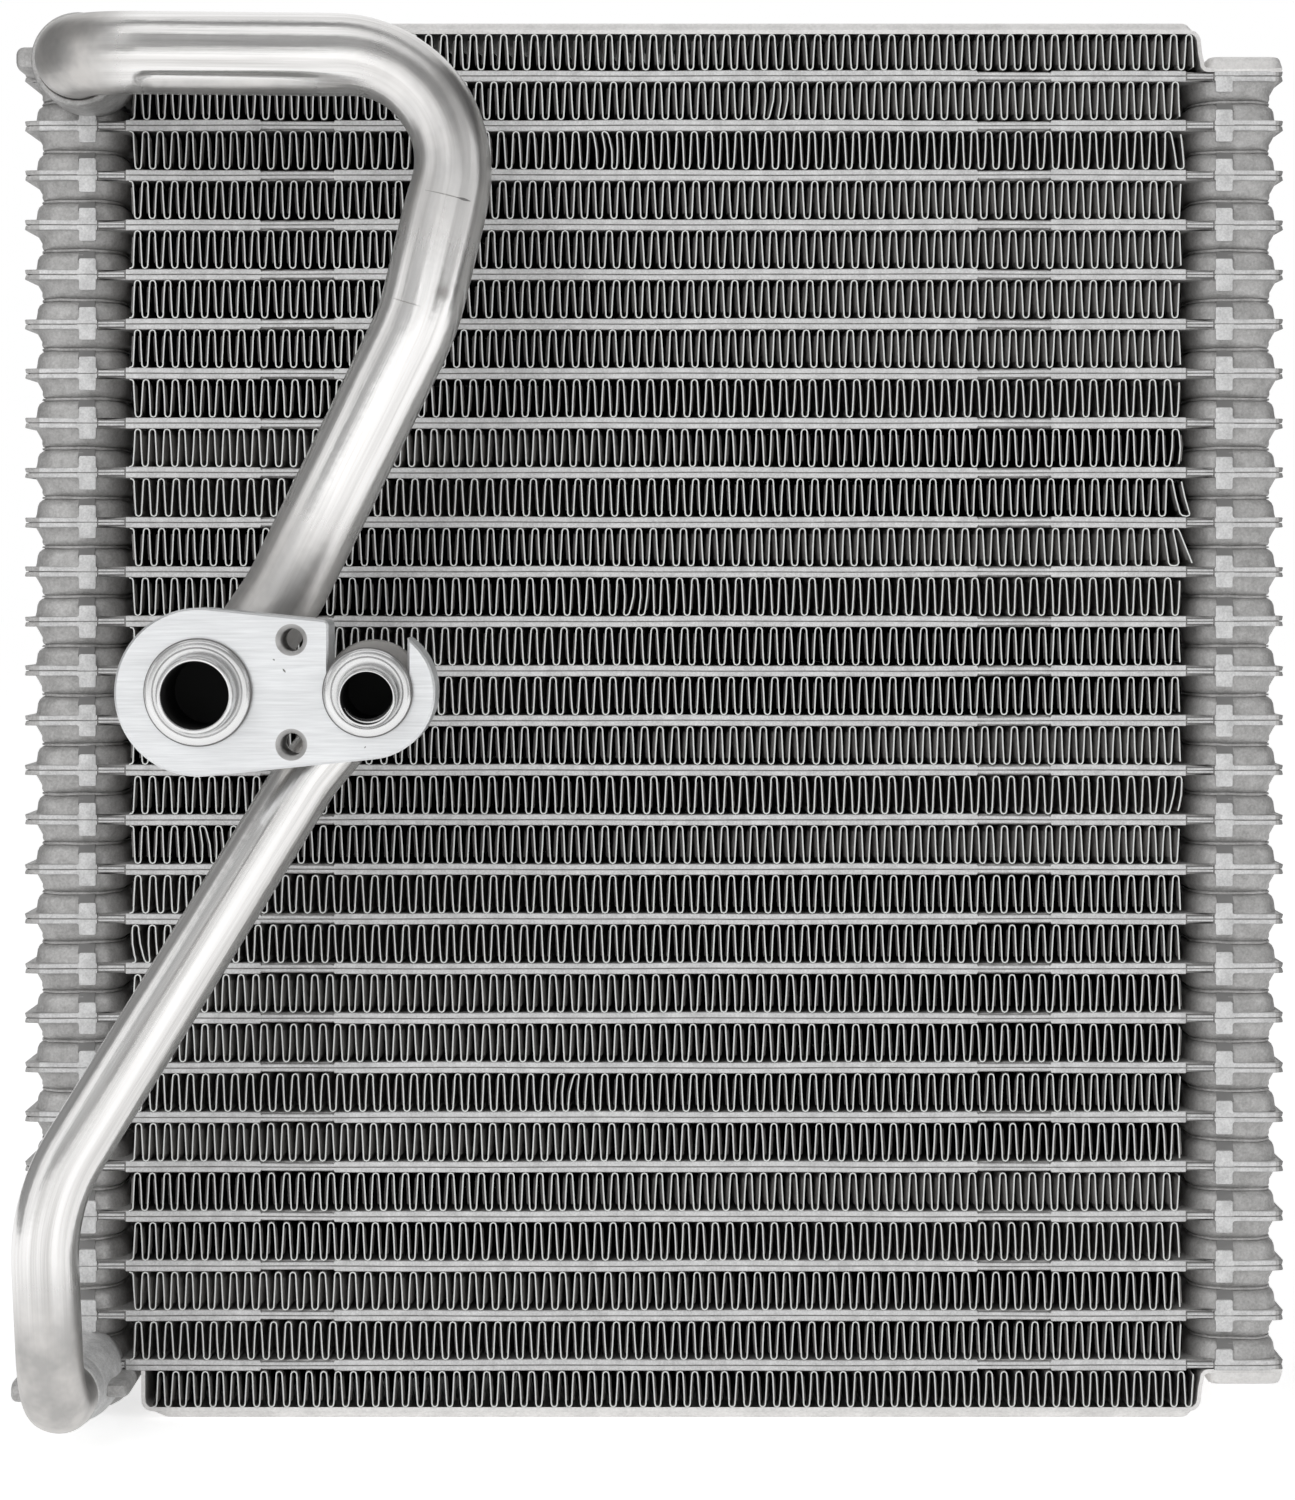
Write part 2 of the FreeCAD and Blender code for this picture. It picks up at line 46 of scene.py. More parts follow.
# Levels that several pieces share
TUBE_COUNT = 27
TUBE_PITCH = 9.92
FIRST_TUBE = 10.8
TUBE_HALF = 1.08
FRONT = -30.0
BACK = 30.0
END_X = 126.1
TOTAL_HEIGHT = 279.52
LAST_TUBE = FIRST_TUBE + (TUBE_COUNT - 1) * TUBE_PITCH
SUCTION_RADIUS = 7.94
LIQUID_RADIUS = 6.35


# Building pieces from rings of points

class Shape:
    """Points, faces and a material number for each face; a point's tag says how its metal was drawn."""

    def __init__(self):
        self.points = []
        self.faces = []
        self.paints = []
        self.tags = []

    def add(self, points, tag=(0.0, 0.0, 0.0, 0.0)):
        first = len(self.points)
        self.points.extend(points)
        self.tags.extend([tag] * len(points))
        return list(range(first, len(self.points)))

    def face(self, corners, paint=0):
        self.faces.append(tuple(corners))
        self.paints.append(paint)

    def bridge(self, one, other, paint=0, closed=True):
        count = len(one)
        for here in range(count if closed else count - 1):
            after = (here + 1) % count
            self.face((one[here], one[after], other[after], other[here]), paint)

    def chain(self, rings, paint=0, closed=True):
        for one, other in zip(rings, rings[1:]):
            self.bridge(one, other, paint, closed)

    def loft(self, rings, paint=0, end_cap=True):
        made = [self.add(ring) for ring in rings]
        self.chain(made, paint)
        self.face(reversed(made[0]), paint)
        if end_cap:
            self.face(made[-1], paint)
        return made


def build(node, shape, materials, smooth_angle=38.0, tagged=False):
    """Turns a shape into a piece that rides on the body and stands for its CAD node."""
    name = node + "_look"
    mesh = bpy.data.meshes.new(name)
    mesh.from_pydata([(x * MM, y * MM, z * MM) for x, y, z in shape.points], [], shape.faces)
    for material in materials:
        mesh.materials.append(material)
    mesh.polygons.foreach_set("material_index", shape.paints)
    if tagged:
        drawn = mesh.attributes.new("drawn", "FLOAT_VECTOR", "POINT")
        drawn.data.foreach_set("vector", [value for tag in shape.tags for value in tag[:3]])
        satin = mesh.attributes.new("satin", "FLOAT", "POINT")
        satin.data.foreach_set("value", [tag[3] for tag in shape.tags])
    work = bmesh.new()
    work.from_mesh(mesh)
    bmesh.ops.recalc_face_normals(work, faces=work.faces)
    work.to_mesh(mesh)
    work.free()
    mesh.polygons.foreach_set("use_smooth", [True] * len(mesh.polygons))
    mesh.set_sharp_from_angle(angle=math.radians(smooth_angle))
    piece = bpy.data.objects.new(name, mesh)
    scene.collection.objects.link(piece)
    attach(piece, "root")
    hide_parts(node)


def arc(x, y, radius, angles):
    """Places on a circle, at angles in degrees."""
    turns = [math.radians(angle) for angle in angles]
    return [(x + radius * math.cos(turn), y + radius * math.sin(turn)) for turn in turns]


def rounded_ring(low, high, radii, height, steps=5):
    """Rectangle with four round corners at one height, in order from the low x and low y corner."""
    (x_low, y_low), (x_high, y_high) = low, high
    corners = (
        (x_low, y_low, 1, 1, 180), (x_high, y_low, -1, 1, 270),
        (x_high, y_high, -1, -1, 0), (x_low, y_high, 1, -1, 90),
    )
    ring = []
    for (x, y, way_x, way_y, start), radius in zip(corners, radii):
        angles = [start + 90 * step / steps for step in range(steps + 1)]
        places = arc(x + way_x * radius, y + way_y * radius, radius, angles)
        ring += [(across, along, height) for across, along in places]
    return ring


def turned_rings(centre_x, centre_z, profile, count):
    """Rings about an axis along Y; the profile is rows of y and radius."""
    turns = [math.tau * step / count for step in range(count)]
    return [
        [(centre_x + radius * math.cos(turn), y, centre_z + radius * math.sin(turn)) for turn in turns]
        for y, radius in profile
    ]


def smooth_step(value):
    value = min(1.0, max(0.0, value))
    return value * value * (3 - 2 * value)


# Materials

def set_input(owner, socket, value):
    """Gives an input a value, or joins another node's output to it."""
    if isinstance(value, bpy.types.NodeSocket):
        owner.node_tree.links.new(value, socket)
    else:
        socket.default_value = value


def set_named(owner, node, **values):
    """Sets inputs and settings of a node by name; an underscore stands for a space in an input's name."""
    for name, value in values.items():
        socket = node.inputs.get(name.replace("_", " "))
        if socket is None:
            setattr(node, name, value)
        else:
            set_input(owner, socket, value)


def add_node(owner, kind, output, *terms, **values):
    """Adds a node, fills its first inputs with the terms, sets the rest by name and returns one output."""
    node = owner.node_tree.nodes.new("ShaderNode" + kind)
    set_named(owner, node, **values)
    for socket, term in zip(node.inputs, terms):
        set_input(owner, socket, term)
    return node.outputs[output]


def add_noise(material, places, scale, detail, roughness):
    return add_node(material, "TexNoise", "Fac", places, Scale=scale, Detail=detail, Roughness=roughness)


def add_ramp(material, factor, *stops):
    """Colour for a factor, between two stops of a place and a colour each."""
    ramp = material.node_tree.nodes.new("ShaderNodeValToRGB")
    for element, (place, colour) in zip(ramp.color_ramp.elements, stops):
        element.position = place
        element.color = (*colour, 1)
    set_input(material, ramp.inputs["Fac"], factor)
    return ramp.outputs["Color"]


def set_surface(material, **values):
    """Sets inputs of a material's shader."""
    set_named(material, material.node_tree.nodes["Principled BSDF"], **values)


def new_material(name, colour, metallic, roughness):
    material = bpy.data.materials.new(name)
    material.use_nodes = True
    set_surface(material, Base_Color=(*colour, 1), Metallic=metallic, Roughness=roughness)
    return material


def mottle(material, dark, light, coarse, fine, bump, grain_stretch=(1, 1, 1)):
    """Blotches of two sizes in the colour, and a fine grain in the surface."""
    places = add_node(material, "TexCoord", "Object")
    spread = add_node(material, "Mapping", "Vector", places, Scale=grain_stretch)
    blotches = add_noise(material, spread, coarse, 4.0, 0.6)
    grain = add_noise(material, spread, fine, 3.0, 0.65)
    both = add_node(material, "Math", "Value", blotches, grain, operation="ADD")
    half = add_node(material, "Math", "Value", both, 0.5, operation="MULTIPLY")
    colour = add_ramp(material, half, (0.36, dark), (0.64, light))
    relief = add_node(material, "Bump", "Normal", Strength=bump, Distance=0.0002, Height=grain)
    set_surface(material, Base_Color=colour, Normal=relief)


def grey(level, warm=0.0):
    return (level * (1 + warm), level, level * (1 - warm))


plate_metal = new_material("plate_metal", grey(0.5), 0.35, 0.5)
mottle(plate_metal, grey(0.35, 0.015), grey(0.6, 0.01), 260.0, 1900.0, 0.4)
# Pale metal of the tabs and the brazed rims; on the liquid neck it is painted light
pale_metal_and_painted_light = new_material("pale_metal_and_painted_light", grey(0.6), 0.3, 0.55)
mottle(pale_metal_and_painted_light, grey(0.57), grey(0.86), 360.0, 2200.0, 0.3)
# Fin sides are painted darker as painted shade, and the fins' cut edges paler as painted light; both are
# one sheet
fin_side = new_material("fin_side", grey(0.4), 0.55, 0.5)
mottle(fin_side, grey(0.25, 0.03), grey(0.5, 0.03), 500.0, 1500.0, 0.2, (1, 0.25, 0.2))
fin_edge = new_material("fin_edge", (0.9, 0.92, 0.9), 0.1, 0.45)
end_metal = new_material("end_metal", grey(0.62), 0.4, 0.42)
mottle(end_metal, grey(0.72, 0.015), grey(0.92, 0.015), 220.0, 1500.0, 0.3)

# Small dark smudge on the suction pipe
STAIN = (-40.1, -67.1, 222.4)
STAIN_RADIUS = 1.9
STAIN_COLOUR = (0.2, 0.17, 0.15, 1)


def stain_share(material, places, blotches):
    """How much of the smudge covers a place; its rim is ragged."""
    middle = [value * MM for value in STAIN]
    reach = add_node(material, "VectorMath", "Value", places, middle, operation="DISTANCE")
    near = add_node(material, "MapRange", "Result", reach,
                    From_Min=STAIN_RADIUS * MM, From_Max=0.2 * STAIN_RADIUS * MM)
    return add_node(material, "Math", "Value", near, blotches, operation="MULTIPLY")


def make_drawn_metal():
    """Bare drawn tube: long streaks and die marks where it is straight, satin where it was worked."""
    material = new_material("drawn_metal", grey(0.72), 0.92, 0.26)
    place = add_node(material, "Attribute", "Vector", attribute_name="drawn")
    stretch = add_node(material, "Mapping", "Vector", place, Scale=(1.0, 1.0, 2.2))
    streaks = add_noise(material, stretch, 2.3, 5.0, 0.62)
    lines = add_noise(material, stretch, 11.0, 3.0, 0.6)
    where = add_node(material, "TexCoord", "Object")
    blotches = add_noise(material, where, 120.0, 3.0, 0.6)
    worked = add_node(material, "Attribute", "Fac", attribute_name="satin")
    polished = add_ramp(material, streaks, (0.36, grey(0.56, 0.02)), (0.56, grey(0.9, 0.01)))
    satin = add_ramp(material, blotches, (0.36, grey(0.42, 0.02)), (0.64, grey(0.58, 0.03)))
    colour = add_node(material, "MixRGB", "Color", worked, polished, satin)
    stain = stain_share(material, where, blotches)
    stained = add_node(material, "MixRGB", "Color", stain, colour, STAIN_COLOUR)
    polish = add_node(material, "MapRange", "Result", lines, To_Min=0.1, To_Max=0.3)
    rough = add_node(material, "MapRange", "Result", worked, To_Min=polish, To_Max=0.42)
    waves = add_node(material, "Bump", "Normal", Strength=0.12, Distance=0.0008, Height=blotches)
    relief = add_node(
        material, "Bump", "Normal", Strength=0.12, Distance=0.0003, Height=lines, Normal=waves,
    )
    set_surface(material, Base_Color=stained, Roughness=rough, Normal=relief)
    return material


def make_brushed_metal():
    """Milled bar with fine brush lines along its length."""
    material = new_material("brushed_metal", grey(0.75), 0.7, 0.36)
    places = add_node(material, "TexCoord", "Object")
    stretch = add_node(material, "Mapping", "Vector", places, Scale=(0.04, 1.0, 1.0))
    lines = add_noise(material, stretch, 2600.0, 3.0, 0.6)
    colour = add_ramp(material, lines, (0.3, grey(0.72, -0.014)), (0.7, grey(0.87, -0.014)))
    relief = add_node(material, "Bump", "Normal", Strength=0.2, Distance=0.0001, Height=lines)
    set_surface(material, Base_Color=colour, Normal=relief)
    return material


drawn_metal = make_drawn_metal()
brushed_metal = make_brushed_metal()
turned_metal = new_material("turned_metal", grey(0.78), 0.8, 0.22)
# Near black: painted shade inside the ports' bores
bore_painted_shade = new_material("bore_painted_shade", grey(0.012), 0.0, 0.7)
# Dark grey: painted shade beside the tubes' strips and round the pipes' beads, and the colour of one bend
# mark and of the block's nicks
shade_and_mark_metal = new_material("shade_and_mark_metal", grey(0.2, 0.02), 0.2, 0.6)
# Darker metal: painted shade on the collar and sleeve behind the block, and the colour of two bend marks
collar_shade_and_mark_metal = new_material("collar_shade_and_mark_metal", grey(0.36, 0.03), 0.75, 0.32)
cut_metal = new_material("cut_metal", grey(0.55, 0.01), 0.5, 0.35)
# Dim grey: painted shade at the right ends of the rims and on the block behind each tab
dim_painted_shade = new_material("dim_painted_shade", grey(0.28, 0.01), 0.3, 0.55)


# Air fins: one thin folded ribbon for each row, each leg offset sideways across its depth to stand for its
# louvres

FIN_SHEET = 0.25
FIN_PITCH = 2.97
CREST_RADIUS = 0.58
LOUVRE = 0.42
DRIFT = 1.5
END_DRIFT = 1.0
FIN_SPAN = (-104.9, 105.4)
END_FIN_SPAN = (-100.3, 108.0)
END_FIN_HEIGHT = 7.3
FIN_FLOOR = 2.4

# Row, place along it, reach of the damage, how far the legs lean, how far they bow,
# and the share of the height at which a leg stays where it was
BENT_FINS = (
    (27, 24.2, 3.0, 0.9, 0.5, 0.5), (26, -9.8, 2.5, -0.7, 0.6, 0.5), (26, 105.0, 2.2, -1.2, 0.1, 1.0),
    (20, 105.0, 2.0, 0.5, 0.4, 0.5), (19, 105.2, 1.9, -2.3, -0.2, 1.0), (18, 105.2, 2.6, -2.7, 0.0, 1.0),
    (17, -3.8, 2.5, 0.8, 0.5, 0.5), (13, 105.0, 3.5, 1.3, 0.3, 0.5), (12, -89.8, 3.0, -0.9, 0.5, 0.5),
    (10, -103.8, 3.5, -1.2, -0.4, 0.5), (7, -16.8, 2.5, 0.8, -0.5, 0.5),
)


def wave_path(number, low, high, span, dice):
    """Middle line of one row: x, height and whether the point is on a crest."""
    at_top = dice.random() < 0.35
    x = span[0] + 0.1 + dice.uniform(0, 0.3)
    upper = high - FIN_SHEET / 2 - CREST_RADIUS
    lower = low + FIN_SHEET / 2 + CREST_RADIUS
    path = [(x - 0.2, high - FIN_SHEET / 2 if at_top else low + FIN_SHEET / 2, True)]
    while x < span[1] - CREST_RADIUS:
        middle = upper if at_top else lower
        way = 1 if at_top else -1
        for step in range(2 if len(path) == 1 else 0, 5):
            angle = math.radians(180 - 45 * step)
            level = middle + way * CREST_RADIUS * math.sin(angle)
            path.append((x + CREST_RADIUS * math.cos(angle), level, True))
        after = x + FIN_PITCH / 2 + dice.uniform(-0.07, 0.07)
        start = x + CREST_RADIUS
        end = after - CREST_RADIUS
        far = lower if at_top else upper
        bow = dice.uniform(-0.05, 0.05)
        for share in (0.1, 0.5, 0.9):
            level = middle + (far - middle) * share
            place = start + (end - start) * share + bow * math.sin(math.pi * share)
            path.append((place, level, False))
        x = after
        at_top = not at_top
    path.append((x - CREST_RADIUS, upper if at_top else lower, True))
    start = path[0][0]
    stretch = (span[1] - dice.uniform(0, 0.4) - start) / (path[-1][0] - start)
    bent = [row for row in BENT_FINS if row[0] == number]
    moved = []
    for x, z, crest in path:
        x = start + (x - start) * stretch
        rise = (z - low) / (high - low)
        for _, place, reach, lean, bow, pivot in bent:
            near = math.exp(-((x - place) / reach) ** 2)
            x += near * (lean * (rise - pivot) + bow * math.sin(math.pi * rise))
        moved.append((x, z, crest))
    return moved


def ribbon_normals(path):
    normals = []
    for before, after in zip(path[:1] + path, path[1:] + path[-1:]):
        run = Vector((after[0] - before[0], after[1] - before[1])).normalized()
        normals.append((-run.y, run.x))
    return normals


# Place in the depth, share of the louvre's lift and share of the sideways drift
LEG_LEVELS = (
    (FRONT, 0, 0), (FRONT + 1.1, 1, 0.06), (-10.0, -0.7, 1),
    (10.0, 0.7, -1), (BACK - 1.1, -1, -0.06), (BACK, 0, 0),
)
CREST_LEVELS = ((FRONT, 0, 0), (-10.0, 0, 1), (10.0, 0, -1), (BACK, 0, 0))


def make_fin_row(number):
    dice = random.Random(700 + number)
    at_end = number in (1, TUBE_COUNT + 1)
    low = FIN_FLOOR if number == 1 else FIRST_TUBE + (number - 2) * TUBE_PITCH + TUBE_HALF
    high = low + (END_FIN_HEIGHT if at_end else TUBE_PITCH - 2 * TUBE_HALF)
    span = END_FIN_SPAN if at_end else FIN_SPAN
    path = wave_path(number, low, high, span, dice)
    normals = ribbon_normals(path)
    drift = (END_DRIFT if at_end else DRIFT) * dice.choice((-1, 1))
    louvre = LOUVRE * dice.choice((-1, 1))
    shape = Shape()
    rows = []
    for (x, z, crest), (across, up) in zip(path, normals):
        levels = CREST_LEVELS if crest else LEG_LEVELS
        sides = []
        for side in (-1, 1):
            offset = side * FIN_SHEET / 2
            sides.append(shape.add([
                (x + across * offset + louvre * lift + drift * sway, y, z + up * offset)
                for y, lift, sway in levels
            ]))
        rows.append((crest, sides))
    for (crest, sides), (next_crest, next_sides) in zip(rows, rows[1:]):
        for here, there in zip(sides, next_sides):
            if crest == next_crest:
                shape.bridge(here, there, closed=False)
                continue
            few, many = (here, there) if crest else (there, here)
            shape.face((few[0], few[1], many[2], many[1], many[0]))
            shape.face((few[1], few[2], many[3], many[2]))
            shape.face((few[2], few[3], many[5], many[4], many[3]))
        # The ribbon's cut edges take the paler colour: painted light
        for end in (0, -1):
            shape.face((sides[0][end], sides[1][end], next_sides[1][end], next_sides[0][end]), 1)
    for _, sides in (rows[0], rows[-1]):
        shape.face(sides[0] + sides[1][::-1], 1)
    build("fin_%02d" % number, shape, [fin_side, fin_edge], smooth_angle=50.0)


# Flat tubes: two pressed plates brazed edge to edge, with cups drawn out of both ends

BOW_START = 121.5
BOW_RADIUS = 12.0
LEDGE_HALF = 1.0
STRIP_HALF = 0.52
STRIP_GROOVE = 0.24
WEDGE_END = 110.6
THIN_HALF = 0.72
THIN_ZONE = (64.2, 79.2)
STRIP_ZONE = (106.3, 111.8)
TAB_ZONE = (111.9, 115.5)
TAB_ROUND = 0.35
STEP_LENGTH = 0.3
CUP_LOW = (106.7, 3.4)
CUP_HIGH = (124.9, 28.7)
CUP_PROFILE = (
    (0.7, -0.75), (1.05, -0.2), (1.7, 0.0), (3.3, 0.22), (4.0, 0.55), (4.5, 1.15),
    (4.66, 1.6), (4.76, 1.6), (4.79, 1.12), (4.945, 1.12),
)


def edge_heights():
    """Half thickness of the brazed edge at places along one half of the front, outwards."""
    return [(place, TUBE_HALF) for place in range(0, 61, 6)] + [
        (THIN_ZONE[0], TUBE_HALF), (THIN_ZONE[0] + STEP_LENGTH, 0.6),
        (THIN_ZONE[0] + 2 * STEP_LENGTH, THIN_HALF), (THIN_ZONE[0] + 5, THIN_HALF),
        (THIN_ZONE[0] + 10, THIN_HALF), (THIN_ZONE[1] - 2 * STEP_LENGTH, THIN_HALF),
        (THIN_ZONE[1] - STEP_LENGTH, 0.6), (THIN_ZONE[1], TUBE_HALF),
        (86.0, TUBE_HALF), (93.0, TUBE_HALF), (100.0, TUBE_HALF),
        (STRIP_ZONE[0] - STEP_LENGTH, TUBE_HALF), (STRIP_ZONE[0], STRIP_HALF),
        (108.0, STRIP_HALF), (WEDGE_END, STRIP_HALF),
        (STRIP_ZONE[1] - STEP_LENGTH, STRIP_HALF), (STRIP_ZONE[1], LEDGE_HALF),
        (115.0, LEDGE_HALF), (BOW_START, LEDGE_HALF),
    ]


def bow_back(x):
    """How far the ledge's front edge has curved back at a place near its end."""
    reach = abs(x) - BOW_START
    return BOW_RADIUS - math.sqrt(BOW_RADIUS ** 2 - reach ** 2)


def plate_outline():
    """Places round a tube in plan: x, y, outward direction and the edge's half thickness."""
    half = edge_heights()
    front = [(-x, height) for x, height in reversed(half[1:])] + half
    quarter = []
    for x in (122.4, 123.3, 124.2, 125.0, 125.6):
        lean = math.asin((x - BOW_START) / BOW_RADIUS)
        quarter.append((x, bow_back(x), math.sin(lean), math.cos(lean)))
    corner_depth = bow_back(END_X)
    quarter.append((END_X - 0.12, corner_depth + 0.08, 0.85, 0.53))
    quarter += [(END_X, depth, 1.0, 0.0) for depth in (corner_depth + 0.6, 12.0, 21.0, 30.0)]

    def corner(side, depth_side, places):
        return [
            (side * x, depth_side * (BACK - depth), side * across, depth_side * along, LEDGE_HALF)
            for x, depth, across, along in places
        ]

    stations = [(x, FRONT, 0.0, -1.0, height) for x, height in front]
    stations += corner(1, -1, quarter) + corner(1, 1, quarter[-2::-1])
    stations += [(x, BACK, 0.0, 1.0, height) for x, height in reversed(front)]
    stations += corner(-1, 1, quarter) + corner(-1, -1, quarter[-2::-1])
    return stations


OUTLINE = plate_outline()

# Rows of faces round the edge, counted from the upper plate's wall down to the lower plate's; the groove
# and step rows are painted with shade where the strip starts and ends
RIM_ROWS = (4, 5, 6, 10, 11, 12)
GROOVE_SHADE_ROWS = (2, 3, 13, 14)
STEP_SHADE_ROWS = (3, 4, 5, 6, 10, 11, 12, 13)

# Beyond this place the rim takes the plates' darker colour instead of the pale one
RIM_DARK_START = 123.6

# How far the cups, tabs and steps sit to the right of the middle; it fades out at the tubes' ends
OFF_MIDDLE = 0.36


def in_strip(x):
    return STRIP_ZONE[0] <= abs(x) < STRIP_ZONE[1]


def add_plates(shape, middle, dice):
    """The two plates of a tube: the brazed rim all round with its seam, and the flat walls."""
    phases = [dice.uniform(0, math.tau) for _ in range(4)]
    rings = []
    for x, y, across, along, height in OUTLINE:
        wobble = 0.05 * math.sin(x / 17 + phases[0]) + 0.03 * math.sin(x / 6.1 + phases[1])
        edge = 0.05 * math.sin(x / 11 + phases[2]) + 0.03 * math.sin(x / 4.3 + phases[3])
        height += 0.4 * wobble
        groove = 0.0
        flat = max(TUBE_HALF, height) if abs(x) < STRIP_ZONE[0] else LEDGE_HALF
        mark = height
        if in_strip(x):
            groove = STRIP_GROOVE
            mark = height + 0.2
            share = smooth_step((WEDGE_END - abs(x)) / (WEDGE_END - STRIP_ZONE[0]))
            flat = mark + (TUBE_HALF - mark) * share
        gape = 1.0 if abs(x) > 125.0 else 0.28
        half = (
            (1.9, flat), (1.25, max(mark, flat - 0.1)), (1.1, mark), (1.0, height - groove), (0.75, height),
            (0.14, height), (0.0, height - 0.14), (gape / 4 - 0.07, 0.13), (gape, 0.02),
        )
        rows = half + tuple((inset, -level) for inset, level in reversed(half))
        x += OFF_MIDDLE * smooth_step((END_X - 0.3 - abs(x)) / 3.0)
        rings.append(shape.add([
            (x - across * (inset + abs(edge)), y - along * (inset + abs(edge)), middle + wobble + level)
            for inset, level in rows
        ]))
    for place, one in enumerate(rings):
        after = (place + 1) % len(rings)
        other = rings[after]
        strips = in_strip(OUTLINE[place][0]) + in_strip(OUTLINE[after][0])
        for row in range(len(one) - 1):
            paint = 1 if row in RIM_ROWS and abs(OUTLINE[place][0]) < RIM_DARK_START else 0
            # At the right ends the rim is painted dim: painted shade on the side away from the key lamp
            if row in RIM_ROWS and min(OUTLINE[place][0], OUTLINE[after][0]) > CUP_HIGH[0]:
                paint = 3
            # Where the strip starts and ends, the faces round its groove and steps are painted shade
            if strips == 1 and row in STEP_SHADE_ROWS or strips == 2 and row in GROOVE_SHADE_ROWS:
                paint = 2
            shape.face((one[row], one[row + 1], other[row + 1], other[row]), paint)
    for level in (0, -1):
        shape.face([ring[level] for ring in rings])


def joint_wave(x, joint):
    """How far a brazed joint between two cups wanders up and down along the front."""
    return 0.06 * math.sin(abs(x) / 2.6 + 1.7 * joint) + 0.04 * math.sin(abs(x) / 1.1 + 2.9 * joint)


# How far the outer walls of a tube's lower cups sink in
CUP_SAG = 0.9


def add_cup(shape, side, depth_side, middle, way, joint, dice):
    """One drawn cup, from the plate to the brazed joint half way to the next tube."""
    x_low, x_high = sorted((side * CUP_LOW[0], side * CUP_HIGH[0]))
    y_low, y_high = sorted((depth_side * CUP_LOW[1], depth_side * CUP_HIGH[1]))
    outer, inner = 5.5, 8.2
    radii = (inner, outer, outer, inner) if side > 0 else (outer, inner, inner, outer)
    shift = OFF_MIDDLE + dice.uniform(-0.08, 0.08)
    rings = []
    for level, inset in CUP_PROFILE:
        sag = 0.0
        if way < 0:
            sag = CUP_SAG * smooth_step((level - 1.0) / 2.2) * smooth_step((4.9 - level) / 1.6)
        left, right = (inset, inset + sag) if side > 0 else (inset + sag, inset)
        ring = rounded_ring(
            (x_low + left + shift, y_low + inset), (x_high - right + shift, y_high - inset),
            [max(1.0, radius - inset) for radius in radii], middle + way * level, steps=6,
        )
        near_joint = smooth_step((level - 3.6) / 0.9)
        rings.append([(x, y, z + near_joint * joint_wave(x, joint)) for x, y, z in ring])
    shape.loft(rings)


def tab_outline(low, high, inset):
    """Half of a tab seen from the front, with a fillet at the ledge: places outwards and heights."""
    near, far = TAB_ZONE[0] + 0.12 + inset, TAB_ZONE[1] - 0.15 - inset
    outline = [(near, low)]
    root = math.copysign(LEDGE_HALF, high)
    tip = high - math.copysign(inset, high)
    way = math.copysign(1.0, high)
    outline += [(far + 0.34, low), (far + 0.34, root)]
    outline += [(far + 0.1, root + way * 0.12), (far, root + way * 0.42)]
    for middle, start in ((far - TAB_ROUND, 0), (near + TAB_ROUND, 90)):
        for step in range(4):
            angle = math.radians(start + 90 * step / 3)
            rise = TAB_ROUND * math.sin(angle) - TAB_ROUND
            outline.append((middle + TAB_ROUND * math.cos(angle), tip + way * rise))
    return outline


def add_tab(shape, side, middle, way, dice):
    """Half of a folded locating tab, flush with the plates' front edge, and behind its tip a dim block that
    stands for the hollow there, painted shade.
    """
    tip = way * dice.uniform(3.1, 3.4)
    rings = []
    for y, inset in ((FRONT + 0.85, 0.0), (FRONT - 0.02, 0.0), (FRONT - 0.1, 0.14)):
        outline = tab_outline(way * (0.05 + inset / 2), tip, inset)
        rings.append([(side * x + OFF_MIDDLE, y, middle + z) for x, z in outline])
    shape.loft(rings, 1)
    if way < 0:
        return
    # Dim block behind the tab's tip: painted shade
    near, far = TAB_ZONE[0] + 0.6, TAB_ZONE[1] + 0.25
    low, high = (FRONT + 0.9, 2.9), (FRONT + 2.5, 4.78)
    shape.loft([
        [
            (side * x + OFF_MIDDLE, y + y_shift, middle + z)
            for x, (y, z) in ((near, low), (far, low), (far, high), (near, high))
        ]
        for y_shift in (0.0, 1.6)
    ], 3)


NECK_LIFT = 1.33
SUCTION_NECK = (-113.0, LAST_TUBE + NECK_LIFT)
LIQUID_NECK = (-115.0, FIRST_TUBE - 1.7)
NECK_MOUTH = -44.0

# Place along the neck, and how far its wall has spread from the lip's radius towards the root's
NECK_FLARE = (
    (-26.0, 1.0), (-31.5, 1.0), (-33.5, 0.96), (-35.5, 0.82), (-37.5, 0.56), (-39.5, 0.3),
    (-41.6, 0.13), (-42.2, -0.03), (-42.7, 0.07),
)


